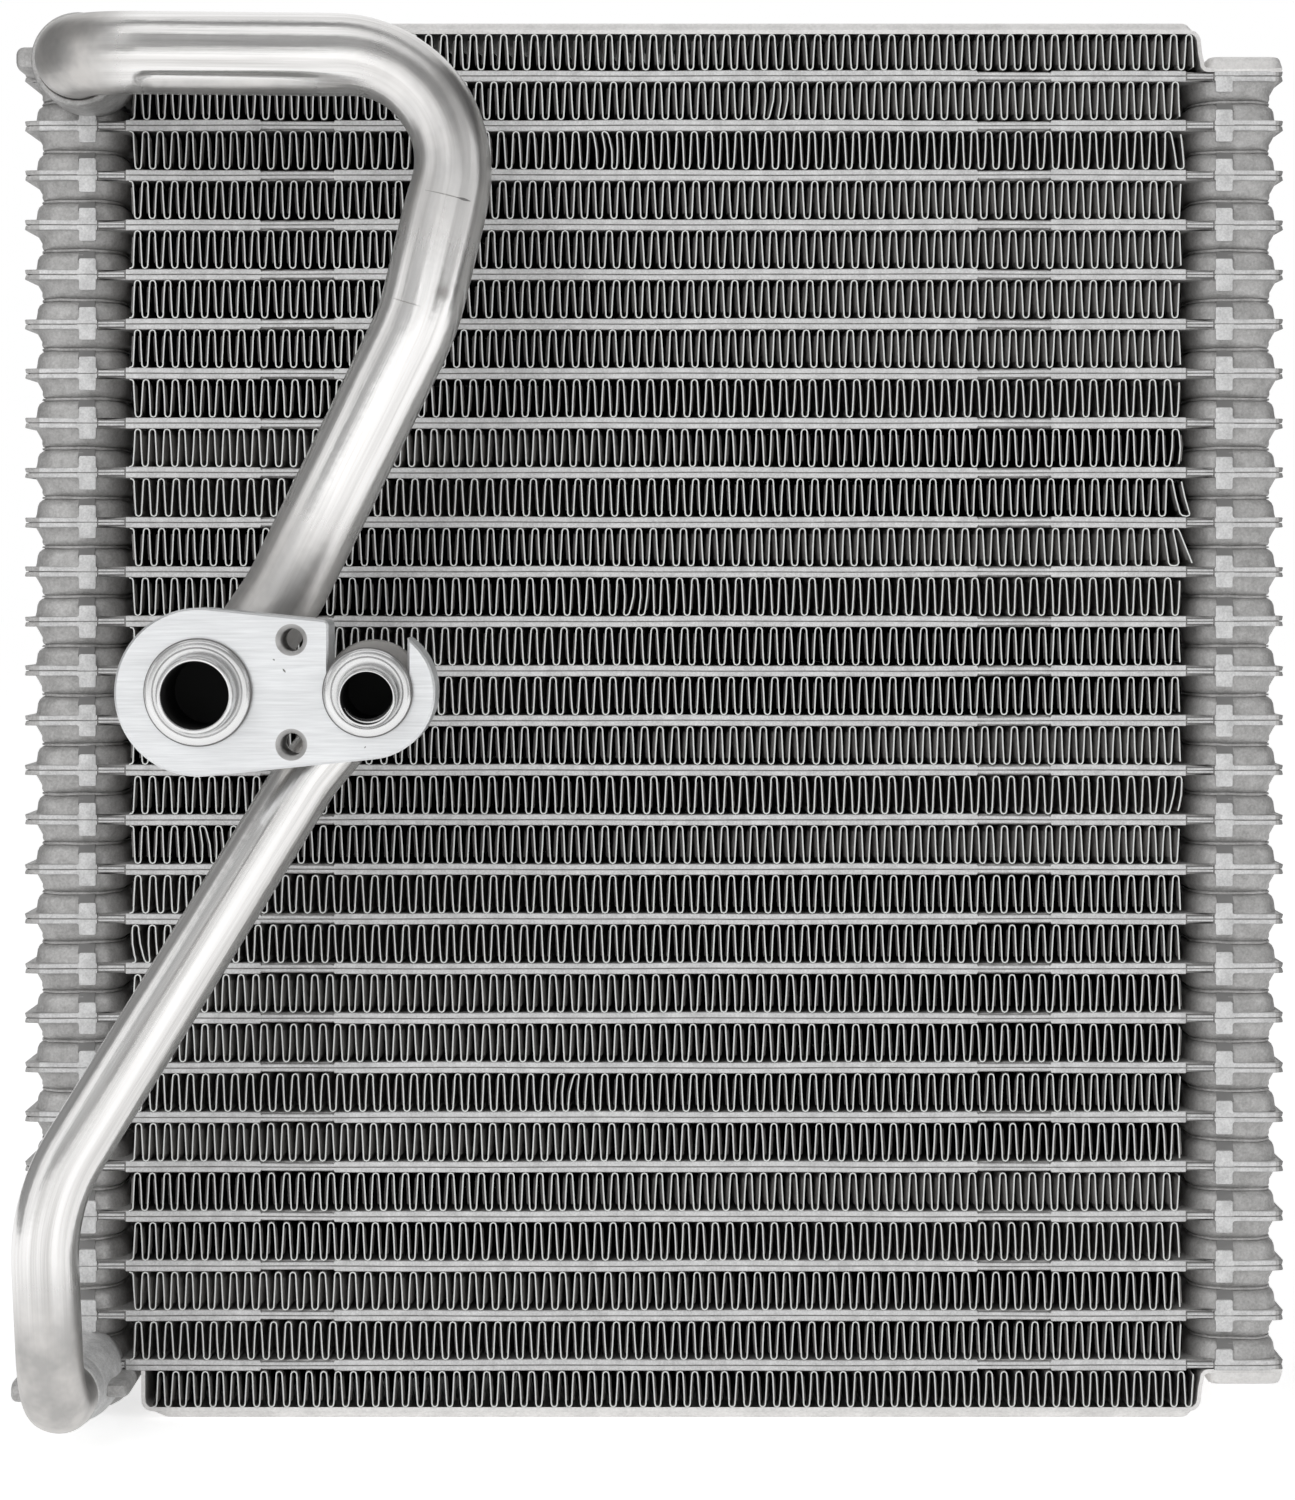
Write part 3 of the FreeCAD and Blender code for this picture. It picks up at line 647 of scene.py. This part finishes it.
def add_neck(shape, centre, pipe_radius, wall, root, nubs, paint=0, ahead=0.0):
    """Bell shaped neck whose rolled lip may reach ahead, and the nubs of the plates' edges beside it."""
    centre_x, centre_z = centre
    bore = pipe_radius + 0.05
    lip = bore + wall
    profile = [(NECK_FLARE[0][0], bore)]
    profile += [(y, lip + (root - lip) * spread) for y, spread in NECK_FLARE]
    profile += [
        (NECK_MOUTH + 0.6 - ahead, lip), (NECK_MOUTH + 0.15 - ahead, bore + 0.8 * wall),
        (NECK_MOUTH - ahead, bore + 0.5 * wall), (NECK_MOUTH - ahead, bore + 0.2 * wall),
        (NECK_MOUTH + 0.3 - ahead, bore),
    ]
    made = [shape.add(ring) for ring in turned_rings(centre_x, centre_z, profile, 64)]
    shape.chain(made + made[:1], paint)
    for x_low, x_high, height, half, tip in nubs:
        rings = []
        for y, inset in ((-28.0, 0.0), (tip + 3.1, 0.0), (tip + 1.0, 0.25), (tip, 0.8)):
            ring = rounded_ring(
                (x_low + inset, height - half + inset), (x_high - inset, height + half - inset),
                [max(0.3, 0.7 * half - inset)] * 4, 0.0, steps=4,
            )
            rings.append([(x, y, z) for x, z, _ in ring])
        shape.loft(rings)


# Dome and low boss on the first and the last tube
DOME_X = -113.0
DOME_RADIUS = 9.8
DOME_END = FRONT + 26.8 - DOME_RADIUS
LOW_BOSS = ((-124.3, 3.2), (-107.3, 28.2))


def add_dome(shape, middle, way):
    """Half round dome that leads the neck back over the front cups, and a low boss over the back ones."""
    rings = []
    spots = [(FRONT + 2.6, 0.8), (FRONT + 3.4, 0.93), (FRONT + 5.0, 1.0)]
    for step in range(8):
        angle = math.radians(90 * step / 7)
        spots.append((DOME_END + DOME_RADIUS * math.sin(angle), max(0.03, math.cos(angle))))
    for y, scale in spots:
        ring = []
        for turn in range(17):
            angle = math.pi * turn / 16
            rise = max(0.2, DOME_RADIUS * scale * math.sin(angle))
            ring.append((DOME_X + DOME_RADIUS * scale * math.cos(angle), y, middle + way * rise))
        rings.append(ring)
    shape.loft(rings)
    rings = []
    (x_low, y_low), (x_high, y_high) = LOW_BOSS
    for level, inset in ((0.5, -0.6), (1.1, 0.0), (2.2, 0.4), (2.8, 0.9), (3.0, 1.8)):
        rings.append(rounded_ring(
            (x_low + inset, y_low + inset), (x_high - inset, y_high - inset),
            [max(1.0, 6.0 - inset)] * 4, middle + way * level,
        ))
    shape.loft(rings)


def make_tube(number):
    dice = random.Random(300 + number)
    middle = FIRST_TUBE + (number - 1) * TUBE_PITCH
    lowest = number == 1
    highest = number == TUBE_COUNT
    shape = Shape()
    add_plates(shape, middle, dice)
    for way in (-1, 1):
        if (lowest and way < 0) or (highest and way > 0):
            continue
        joint = number if way > 0 else number - 1
        for side in (-1, 1):
            for depth_side in (-1, 1):
                add_cup(shape, side, depth_side, middle, way, joint, dice)
    for side in (-1, 1):
        if lowest and side < 0:
            continue
        for way in (-1, 1):
            if not (lowest and way < 0 or highest and way > 0 and side > 0):
                add_tab(shape, side, middle, way, dice)
    if lowest:
        # The liquid neck takes the pale metal: painted light where the pipe shades it from the key lamp
        add_neck(shape, LIQUID_NECK, LIQUID_RADIUS, 0.55, 8.65, (
            (-126.05, -121.5, 9.1, 2.2, -46.5), (-108.5, -103.6, 8.2, 1.75, -40.6),
        ), paint=1, ahead=4.0)
        add_dome(shape, middle, -1)
    if highest:
        nub = (-126.05, -120.5, middle + 2.0, 2.5, -40.6)
        add_neck(shape, SUCTION_NECK, SUCTION_RADIUS, 1.25, 9.4, (nub,))
        add_dome(shape, middle, 1)
    build("tube_%02d" % number, shape, [plate_metal, pale_metal_and_painted_light, shade_and_mark_metal, dim_painted_shade])


# End plates: one formed sheet each

SHEET = 0.8
FIELD_DEPTH = 1.55
BOSS_DEPTH = 2.4
BOSS_LOW = (110.5, 3.0)
BOSS_HIGH = (126.1, 29.75)


def end_plate_section():
    """Middle of the bottom sheet, from the top of its left wall to the end of its flange."""
    points = [(-102.2, 9.72), (-102.2, 7.0), (-102.2, 4.4)]
    points += arc(-100.4, 3.8, 1.8, (195, 215, 235, 255))
    points += [(-99.4, 2.0), (-97.9, 2.0), (-97.3, 2.0), (-96.7, 2.0), (-96.0, 2.0)]
    points += [(-90.0 + 12 * step, 2.0) for step in range(16)]
    points += [(102.0, 2.0), (104.2, 2.0), (105.4, 2.0), (106.0, 2.0), (106.6, 2.0)]
    points += arc(107.1, 3.9, 1.9, (-82, -60, -35, -10))
    points += [(109.25, 6.2), (109.6, 7.9)]
    points += arc(110.9, 8.3, 1.3, (150, 120, 90))
    points += [(111.2 + 0.4 * step, 9.6) for step in range(4)]
    points += [(113.5, 9.6), (115.5, 9.6), (118.5, 9.6), (121.5, 9.6)]
    points += [(123.2 + 0.4 * step, 9.6) for step in range(7)]
    return points


def pressed_field(x, y):
    """Share of the pressing's depth in the middle of an end plate, which slopes off near its edges."""
    ends = smooth_step((x + 101.6) / 4.6) * smooth_step((108.1 - x) / 2.0)
    return ends * smooth_step((29.8 - abs(y)) / 1.8)


def round_field(x, y, low, high, ramp, corner):
    """1 inside a rectangle with round corners, falling to 0 over the ramp outside its middle."""
    out_x = max(low[0] + corner - x, 0, x - high[0] + corner)
    out_y = max(low[1] + corner - y, 0, y - high[1] + corner)
    return smooth_step((corner - math.hypot(out_x, out_y)) / ramp)


def make_end_plate(name, upside_down):
    section = end_plate_section()
    depths = [-29.85, -29.65, -29.3, -28.9, -28.5, -28.1, -27.6, -26.8, -26.0, -24.8]
    depths += [-22.0, -18.0, -12.0, -7.0, -5.5, -4.7, -4.0, -3.3, -2.5, 0.0]
    depths += [-y for y in reversed(depths[:-1])]
    rows = []
    for x, z in section:
        row = []
        for y in depths:
            pressed = FIELD_DEPTH * pressed_field(x, y)
            boss = BOSS_DEPTH * round_field(x, abs(y), BOSS_LOW, BOSS_HIGH, 1.1, 2.6)
            row.append(Vector((x, y, z - pressed - boss)))
        rows.append(row)
    shape = Shape()
    grids = []
    for side in (-1, 1):
        grid = []
        for along, row in enumerate(rows):
            points = []
            for across, point in enumerate(row):
                run = rows[min(along + 1, len(rows) - 1)][across] - rows[max(along - 1, 0)][across]
                slide = row[min(across + 1, len(row) - 1)] - row[max(across - 1, 0)]
                normal = run.cross(slide).normalized()
                x, y, z = point + normal * side * SHEET / 2
                if upside_down:
                    z = TOTAL_HEIGHT - z
                points.append((x, y, z))
            grid.append(shape.add(points))
        grids.append(grid)
    for grid in grids:
        shape.chain(grid, closed=False)
    low, high = grids
    for end in (0, -1):
        shape.bridge([row[end] for row in low], [row[end] for row in high], closed=False)
        shape.bridge(low[end], high[end], closed=False)
    build(name, shape, [end_metal])


# Pipes: swept along nearly the same routes as the frame's, with true bends

def bent_route(corners, radii, bend_step=4.0, straight_step=1.5):
    """Axis of a pipe as close points: straight runs joined by arcs."""
    points = [corners[0]]

    def run_to(target):
        start = points[-1]
        count = max(1, round((target - start).length / straight_step))
        for step in range(1, count + 1):
            points.append(start.lerp(target, step / count))

    for before, corner, after, radius in zip(corners, corners[1:], corners[2:], radii):
        way_in = (corner - before).normalized()
        way_out = (after - corner).normalized()
        turn = way_in.angle(way_out)
        reach = radius * math.tan(turn / 2)
        centre = corner + (way_out - way_in).normalized() * (radius / math.cos(turn / 2))
        start = corner - way_in * reach
        run_to(start)
        steps = max(2, round(math.degrees(turn) / bend_step))
        inward = (centre - start).normalized()
        for step in range(1, steps + 1):
            swing = turn * step / steps
            points.append(centre - inward * radius * math.cos(swing) + way_in * radius * math.sin(swing))
    run_to(corners[-1])
    return points


def add_sweep(shape, route, radius, satin, reshape, count=96):
    """Round tube along a route; its rings carry their place round and along the pipe."""
    way = (route[1] - route[0]).normalized()
    side = way.cross(Vector((0, 0, 1))).normalized()
    length = 0.0
    rings = []
    for place, point in enumerate(route):
        before = route[max(0, place - 1)]
        after = route[min(len(route) - 1, place + 1)]
        way = (after - before).normalized()
        side = (side - way * side.dot(way)).normalized()
        up = way.cross(side)
        if place:
            length += (point - before).length
        ring = []
        for step in range(count):
            angle = math.tau * step / count
            out = side * math.cos(angle) + up * math.sin(angle)
            spot = point + out * (radius + reshape(point, out))
            tag = (math.cos(angle), math.sin(angle), length * MM, satin(point, spot))
            ring += shape.add([spot], tag)
        rings.append(ring)
    shape.chain(rings)
    shape.face(rings[0])
    shape.face(rings[-1])


BLOCK_FRONT = -86.0
BLOCK_BACK = -72.0
SUCTION_X = -84.0
LIQUID_X = -52.8
PORT_Z = 147.3

# Bends that are flattened: middle of the arc, the way to the flattest place, its reach and depth
SUCTION_BEND = (Vector((-54.1, -60.0, LAST_TUBE - 21.7)), Vector((15.0, 0.0, 15.0)), 26.0, 0.8)
LIQUID_BEND = (Vector((-114.3, -54.0, 21.1)), Vector((0.0, -8.5, -8.5)), 15.0, 0.9)
CREASE_DEPTH = 1.15


def flattening(point, direction, bend):
    """How much narrower a bend is than the pipe, in the plane of the bend."""
    centre, way, reach, depth = bend
    near = 1.0 - smooth_step(((point - (centre + way)).length - 0.3 * reach) / (0.7 * reach))
    across = direction.dot((point - centre).normalized())
    return -depth * near * across * across


def crease_share(point):
    """1 along the middle of the flattening under the suction pipe's straight run, 0 away from it."""
    if point.z < 258.0:
        return 0.0
    return smooth_step((point.x + 98.5) / 2.0) * smooth_step((-55.0 - point.x) / 20.0)


def reshape_suction(point, direction):
    """The crease under the front of the straight run, sharp along its upper edge, and the flat bend."""
    below = -math.degrees(math.atan2(direction.z, -direction.y))
    drop = smooth_step((below - 30.0) / 17.0) * (1.0 - 0.75 * smooth_step((below - 47.0) / 22.0))
    crease = -CREASE_DEPTH * crease_share(point) * drop * (1.0 - smooth_step((below - 69.0) / 40.0))
    return crease + flattening(point, direction, SUCTION_BEND)


def reshape_liquid(point, direction):
    return flattening(point, direction, LIQUID_BEND)


def suction_satin(point, spot):
    """Satin in the elbow by the neck and under the crease, less in the upper bend and above the block."""
    elbow = smooth_step((-97.0 - point.x) / 9.0) if point.z > 250.0 else 0.0
    bend = 0.45 * smooth_step((point.z - 222.0) / 16.0) * smooth_step((point.x + 64.0) / 16.0)
    foot = 0.8 * smooth_step((190.0 - point.z) / 22.0)
    under = 0.0
    if spot.y < point.y:
        under = 0.75 * crease_share(point) * smooth_step((point.z - 5.3 - spot.z) / 0.6)
    return max(elbow, bend, foot, under)


def liquid_satin(point, spot):
    return 1.0 - smooth_step((point.z - 20.0) / 24.0)


# Marks that the bending tool left across the suction pipe: height, first and last angle, width and paint
MARKS = ((243.4, -31.0, 37.0, 0.24, 3), (243.2, 16.0, 37.0, 0.5, 4), (219.9, -42.0, 4.0, 0.2, 3))


def add_marks(shape, route, radius, marks):
    """Thin lines across the front of a pipe, in the second half of its route."""
    front = Vector((0.0, -1.0, 0.0))
    places = range(len(route) // 2, len(route) - 1)
    for height, first, last, width, paint in marks:
        place = min(places, key=lambda number: abs(route[number].z - height))
        way = (route[place + 1] - route[place - 1]).normalized()
        ahead = (front - way * front.dot(way)).normalized()
        right = way.cross(ahead)
        right *= math.copysign(1.0, right.x)
        rings = []
        for step in range(9):
            angle = math.radians(first + (last - first) * step / 8)
            out = ahead * math.cos(angle) + right * math.sin(angle)
            slim = width / 2 * max(0.25, math.sin(math.pi * step / 8))
            rings.append([
                route[place] + out * (radius + lift) + way * slim * edge
                for lift, edge in ((-0.06, -1), (-0.06, 1), (0.02, 1), (0.02, -1))
            ])
        shape.loft(rings, paint)


# Rows of a nose's profile: the collar and sleeve, painted darker as painted shade behind the block, and the
# bead's outline, painted shade beside the block
COLLAR_ROWS = (0, 6)
SHADE_ROWS = (6, 12)
NOSE_COUNT = 72


def make_pipe(name, corners, radii, radius, port, lean, satin, reshape, marks=()):
    """Swept tube that ends in a turned nose: collar, sleeve through the block, bead, groove and pilot.

    Port is the nose's place and the radii of its bore, pilot, bead and sleeve; lean shifts its tip.
    """
    shape = Shape()
    route = bent_route([Vector(corner) for corner in corners], radii)
    add_sweep(shape, route, radius, satin, reshape)
    add_marks(shape, route, radius, marks)
    x, bore, pilot, bead, sleeve = port
    profile = [
        (BLOCK_BACK + 2.5, radius - 0.3), (BLOCK_BACK + 2.5, bead + 0.6),
        (BLOCK_BACK + 2.1, bead + 1.1), (BLOCK_BACK + 0.4, bead + 1.1),
        (BLOCK_BACK, bead + 0.8), (BLOCK_BACK, sleeve),
    ]
    nose = (
        (0.0, sleeve), (0.0, bead - 0.6), (0.25, bead - 0.55), (0.5, bead - 0.06), (0.9, bead),
        (1.3, bead - 0.1), (1.6, bead - 0.28), (2.0, bead - 0.6), (2.2, bead - 1.0), (2.2, bead - 1.6),
        (1.95, bead - 1.72), (1.9, bead - 1.85), (2.05, bead - 1.95), (2.05, pilot + 0.2),
        (1.9, pilot - 0.75), (4.1, pilot - 0.75), (4.15, pilot - 0.1), (4.4, pilot), (7.3, pilot),
        (8.0, pilot - 0.14), (8.4, pilot - 0.42), (8.5, pilot - 0.7),
        (8.5, bore + 0.22), (8.42, bore + 0.08), (8.2, bore),
    )
    profile += [(BLOCK_FRONT - ahead, reach) for ahead, reach in nose]
    first = len(shape.paints)
    outside = shape.loft(turned_rings(x, PORT_Z, profile, NOSE_COUNT), 1, end_cap=False)
    # The collar rows are painted darker and a ring round the bead is painted dark: painted shade
    for (low, high), paint in ((COLLAR_ROWS, 3), (SHADE_ROWS, 4)):
        painted = NOSE_COUNT * (high - low)
        shape.paints[first + low * NOSE_COUNT:first + high * NOSE_COUNT] = [paint] * painted
    bore_ends = ((BLOCK_FRONT - 7.8, bore), (BLOCK_FRONT + 14.0, bore))
    inside = [shape.add(ring) for ring in turned_rings(x, PORT_Z, bore_ends, NOSE_COUNT)]
    # The bore and its closed end are near black: painted shade inside the port
    shape.bridge(outside[-1], inside[0], 1)
    shape.bridge(inside[0], inside[1], 2)
    shape.face(inside[1], 2)
    for number, (x, y, z) in enumerate(shape.points):
        share = smooth_step((BLOCK_FRONT - 2.0 - y) / 4.0)
        shape.points[number] = (x + share * lean[0], y, z + share * lean[1])
    paints = [drawn_metal, turned_metal, bore_painted_shade, collar_shade_and_mark_metal, shade_and_mark_metal]
    build(name, shape, paints, smooth_angle=32.0, tagged=True)


def make_pipes():
    x, z = SUCTION_NECK
    corners = [
        (x, -35, z + 0.75), (x, -60, LAST_TUBE + 0.3), (-32.9, -60, LAST_TUBE - 0.5),
        (-45.2, -60, LAST_TUBE - 51.2), (-71.5, -53, PORT_Z + 18.2),
        (SUCTION_X, -52, PORT_Z), (SUCTION_X, BLOCK_BACK + 1, PORT_Z),
    ]
    port = (SUCTION_X, 6.2, 7.27, 10.0, SUCTION_RADIUS)
    make_pipe("suction_pipe", corners, [15, 21.2, 40, 30, 15], SUCTION_RADIUS, port, (0.35, -0.3),
              suction_satin, reshape_suction, MARKS)
    x, z = LIQUID_NECK
    corners = [
        (x, -35, z), (x + 0.7, -66, z), (-116.1, -66, z + 40.7), (-67.1, -55, PORT_Z - 17.3),
        (LIQUID_X, -52, PORT_Z), (LIQUID_X, BLOCK_BACK + 1, PORT_Z),
    ]
    port = (LIQUID_X, 4.8, 5.55, 8.35, 7.2)
    make_pipe("liquid_pipe", corners, [12, 38, 30, 15], LIQUID_RADIUS, port, (0.4, -0.8),
              liquid_satin, reshape_liquid)


# Block fitting: a milled bar with a closed hole, an open slot and two tapped holes

BIG_END = 15.55
SMALL_END = 12.4
SLOT_RADIUS = 7.28
SCREW_X = SUCTION_X + 17.1
SCREW_SPACING = 19.3
CHAMFER = 0.4

# Small marks in the block's face: x, z, length, width and lean
NICKS = (
    (-70.1, 153.3, 0.5, 0.3, -40.0), (-68.2, 151.3, 0.95, 0.36, -55.0), (-53.3, 137.2, 0.5, 0.22, 50.0),
)


def arc_points(x, z, radius, start, end, count):
    angles = [start + (end - start) * step / count for step in range(count + 1)]
    return [Vector(place) for place in arc(x, z, radius, angles)]


def round_corner(points, number, radius, steps=4):
    """Rounds one corner of a closed loop."""
    corner = points[number]
    back = (points[number - 1] - corner).normalized()
    on = (points[(number + 1) % len(points)] - corner).normalized()
    half = back.angle(on) / 2
    reach = radius / math.tan(half)
    centre = corner + (back + on).normalized() * (radius / math.sin(half))
    start = corner + back * reach - centre
    end = corner + on * reach - centre
    blends = [start.slerp(end, step / steps).normalized() for step in range(steps + 1)]
    return points[:number] + [centre + blend * radius for blend in blends] + points[number + 1:]


def inset_loop(points, distance):
    """Moves a closed loop to its left by a distance."""
    moved = []
    for number, point in enumerate(points):
        before = (point - points[number - 1]).normalized()
        after = (points[(number + 1) % len(points)] - point).normalized()
        one = Vector((-before.y, before.x))
        other = Vector((-after.y, after.x))
        both = (one + other).normalized()
        moved.append(point + both * distance / max(0.4, both.dot(one)))
    return moved


def make_block():
    turn = math.degrees(math.acos((BIG_END - SMALL_END) / (LIQUID_X - SUCTION_X)))
    tip = math.degrees(math.acos(SLOT_RADIUS / SMALL_END))
    big_arc = arc_points(SUCTION_X, PORT_Z, BIG_END, turn, 360 - turn, 48)
    small_arc = arc_points(LIQUID_X, PORT_Z, SMALL_END, -turn, tip, 30)
    slot = arc_points(LIQUID_X, PORT_Z, SLOT_RADIUS, 0, -180, 28)
    tangent = arc_points(LIQUID_X, PORT_Z, SMALL_END, turn, turn, 1)[0]
    wall_x = LIQUID_X - SLOT_RADIUS
    share = (wall_x - tangent.x) / (big_arc[0].x - tangent.x)
    wall_top = tangent.lerp(big_arc[0], share)
    outline = big_arc + small_arc + slot + [wall_top]
    outline = round_corner(outline, len(outline) - 1, 1.0)
    port_hole = arc_points(SUCTION_X, PORT_Z, 8.04, 0, 354, 59)
    mouth, core = 2.95, 2.12
    screw_places = [(SCREW_X, PORT_Z + side * SCREW_SPACING / 2) for side in (-1, 1)]
    shape = Shape()

    def level(points, y):
        return shape.add([(point.x, y, point.y) for point in points])

    chamfered = inset_loop(outline, CHAMFER)
    outer = [
        level(chamfered, BLOCK_FRONT), level(outline, BLOCK_FRONT + CHAMFER),
        level(outline, BLOCK_BACK - CHAMFER), level(chamfered, BLOCK_BACK),
    ]
    shape.chain(outer)
    holes_front = [level(port_hole, BLOCK_FRONT)]
    holes_back = [level(port_hole, BLOCK_BACK)]
    shape.bridge(holes_front[0], holes_back[0])
    for x, z in screw_places:
        def circle(radius, y):
            return level(arc_points(x, z, radius, 0, 352.5, 47), y)

        rings = [circle(mouth, BLOCK_FRONT), circle(mouth - 0.12, BLOCK_FRONT + 0.08)]
        y = BLOCK_FRONT + mouth - core
        while y < BLOCK_BACK - 1.4:
            rings += [circle(core, y), circle(core + 0.28, y + 0.4)]
            y += 0.8
        rings += [circle(core, BLOCK_BACK - 0.9), circle(mouth - 0.2, BLOCK_BACK)]
        shape.chain(rings, 1)
        holes_front.append(rings[0])
        holes_back.append(rings[-1])
    for rim, holes in ((outer[0], holes_front), (outer[-1], holes_back)):
        loops = [rim] + holes
        numbers = [number for loop in loops for number in loop]
        flat = [[Vector((shape.points[n][0], shape.points[n][2], 0)) for n in loop] for loop in loops]
        for triangle in tessellate_polygon(flat):
            shape.face([numbers[corner] for corner in triangle])
    for x, z, length, width, lean in NICKS:
        along = Vector((math.cos(math.radians(lean)), math.sin(math.radians(lean))))
        across = Vector((-along.y, along.x))
        middle = Vector((x, z))
        corners = [
            middle - along * length / 2, middle - along * length / 6 - across * width / 2,
            middle + along * length / 4 - across * width / 3, middle + along * length / 2,
            middle + along * length / 6 + across * width / 2,
            middle - along * length / 4 + across * width / 3,
        ]
        shape.loft([
            [(spot.x, BLOCK_FRONT + depth, spot.y) for spot in corners] for depth in (0.05, -0.015)
        ], 2)
    build("block_fitting", shape, [brushed_metal, cut_metal, shade_and_mark_metal], smooth_angle=30.0)


for row_number in range(1, TUBE_COUNT + 2):
    make_fin_row(row_number)
for tube_number in range(1, TUBE_COUNT + 1):
    make_tube(tube_number)
make_end_plate("end_plate_bottom", False)
make_end_plate("end_plate_top", True)
make_pipes()
make_block()


# Camera, at the photograph's place

camera_data = bpy.data.cameras.new("camera")
camera_data.lens = 84.0
camera_data.sensor_width = 36.0
camera_data.shift_x = 0.00167
camera_data.shift_y = -0.1167
camera_data.clip_start = 0.01
camera_data.clip_end = 50.0
camera = bpy.data.objects.new("camera", camera_data)
camera.location = (-0.0018, -0.730, 0.1689)
camera.rotation_euler = (math.radians(90), 0, 0)
scene.collection.objects.link(camera)
scene.camera = camera


# Floor, world and lamps

FLOOR_REACH_M = 12.0
FLOOR_GLOW = 0.655
FILL_STRENGTH = 0.4
WHITE = (1, 1, 1, 1)
LAMP_TARGET = (0, 0, 0.14)


def seen_share(owner):
    """1 for what the camera sees, straight or in polished metal, and 0 for light that falls on things."""
    path = owner.node_tree.nodes.new("ShaderNodeLightPath")
    share = path.outputs["Is Camera Ray"]
    for ray in ("Is Glossy Ray", "Is Transmission Ray"):
        share = add_node(owner, "Math", "Value", share, path.outputs[ray], operation="MAXIMUM")
    return share


def add_sheet(name, corners, material):
    """Flat piece of the stage with four corners, in metres."""
    mesh = bpy.data.meshes.new(name)
    mesh.from_pydata(corners, [], [(0, 1, 2, 3)])
    mesh.materials.append(material)
    sheet = bpy.data.objects.new(name, mesh)
    scene.collection.objects.link(sheet)
    return sheet


def make_floor():
    material = new_material("floor_white", grey(0.86), 0.0, 0.9)
    glow = add_node(material, "Math", "Value", seen_share(material), FLOOR_GLOW, operation="MULTIPLY")
    set_surface(material, Specular_IOR_Level=0.0, Emission_Color=WHITE, Emission_Strength=glow)
    ways = ((-1, -1), (1, -1), (1, 1), (-1, 1))
    add_sheet("floor", [(x * FLOOR_REACH_M, y * FLOOR_REACH_M, 0) for x, y in ways], material)


def make_world():
    world = bpy.data.worlds.new("studio")
    scene.world = world
    world.use_nodes = True
    nodes = world.node_tree.nodes
    nodes.clear()
    fill = add_node(world, "Background", "Background", WHITE, FILL_STRENGTH)
    white = add_node(world, "Background", "Background", WHITE, 1.0)
    mix = add_node(world, "MixShader", "Shader", seen_share(world), fill, white)
    set_input(world, nodes.new("ShaderNodeOutputWorld").inputs["Surface"], mix)


def add_lamp(name, place, width, height, power):
    lamp = bpy.data.lights.new(name, "AREA")
    lamp.shape = "RECTANGLE"
    lamp.size = width
    lamp.size_y = height
    lamp.energy = power
    holder = bpy.data.objects.new(name, lamp)
    holder.location = place
    aim = Vector(LAMP_TARGET) - Vector(place)
    holder.rotation_euler = aim.to_track_quat("-Z", "Y").to_euler()
    scene.collection.objects.link(holder)


def add_card(name, colour, start, end, rise):
    """Card beside the set that only polished metal sees, from its lower edge up along the rise."""
    corners = [start, end, [a + b for a, b in zip(end, rise)], [a + b for a, b in zip(start, rise)]]
    card = add_sheet(name, corners, colour)
    for rays in ("camera", "diffuse", "transmission", "shadow"):
        setattr(card, "visible_" + rays, False)


card_black = new_material("card_black", grey(0.03), 0.0, 0.9)
card_grey = new_material("card_grey", grey(0.36), 0.0, 0.9)
card_pale = new_material("card_pale", grey(0.5), 0.0, 0.9)
make_floor()
make_world()
add_lamp("key", (-0.75, -1.35, 0.95), 1.0, 1.2, 9.0)
add_lamp("side", (1.3, -0.9, 0.5), 0.4, 0.9, 4.0)
for side, colour in ((-1, card_pale), (1, card_black)):
    add_card("far_card", colour, (side * 0.75, -0.12, 0.01), (side * 0.75, 1.1, 0.01), (0, 0, 1.29))
    add_card("high_card", card_grey, (side * 0.85, -0.9, 0.6), (side * 0.85, 0.9, 0.6), (0, 0, 1.0))
add_card("right_card", card_grey, (0.56, -0.92, 0.01), (1.0, -0.36, 0.01), (0, 0, 1.19))
add_card("left_card", card_pale, (-0.9, -0.65, 0.2), (-0.3, -1.05, 0.2), (0, 0, 1.0))
add_card("front_card", card_grey, (-0.7, -1.1, 0.42), (0.7, -1.1, 0.42), (0, 0.1, 0.88))
add_card("top_card", card_grey, (-1.0, -0.36, 1.27), (1.0, -0.36, 1.27), (0, 0.36, 0))

scene.view_settings.view_transform = "Standard"
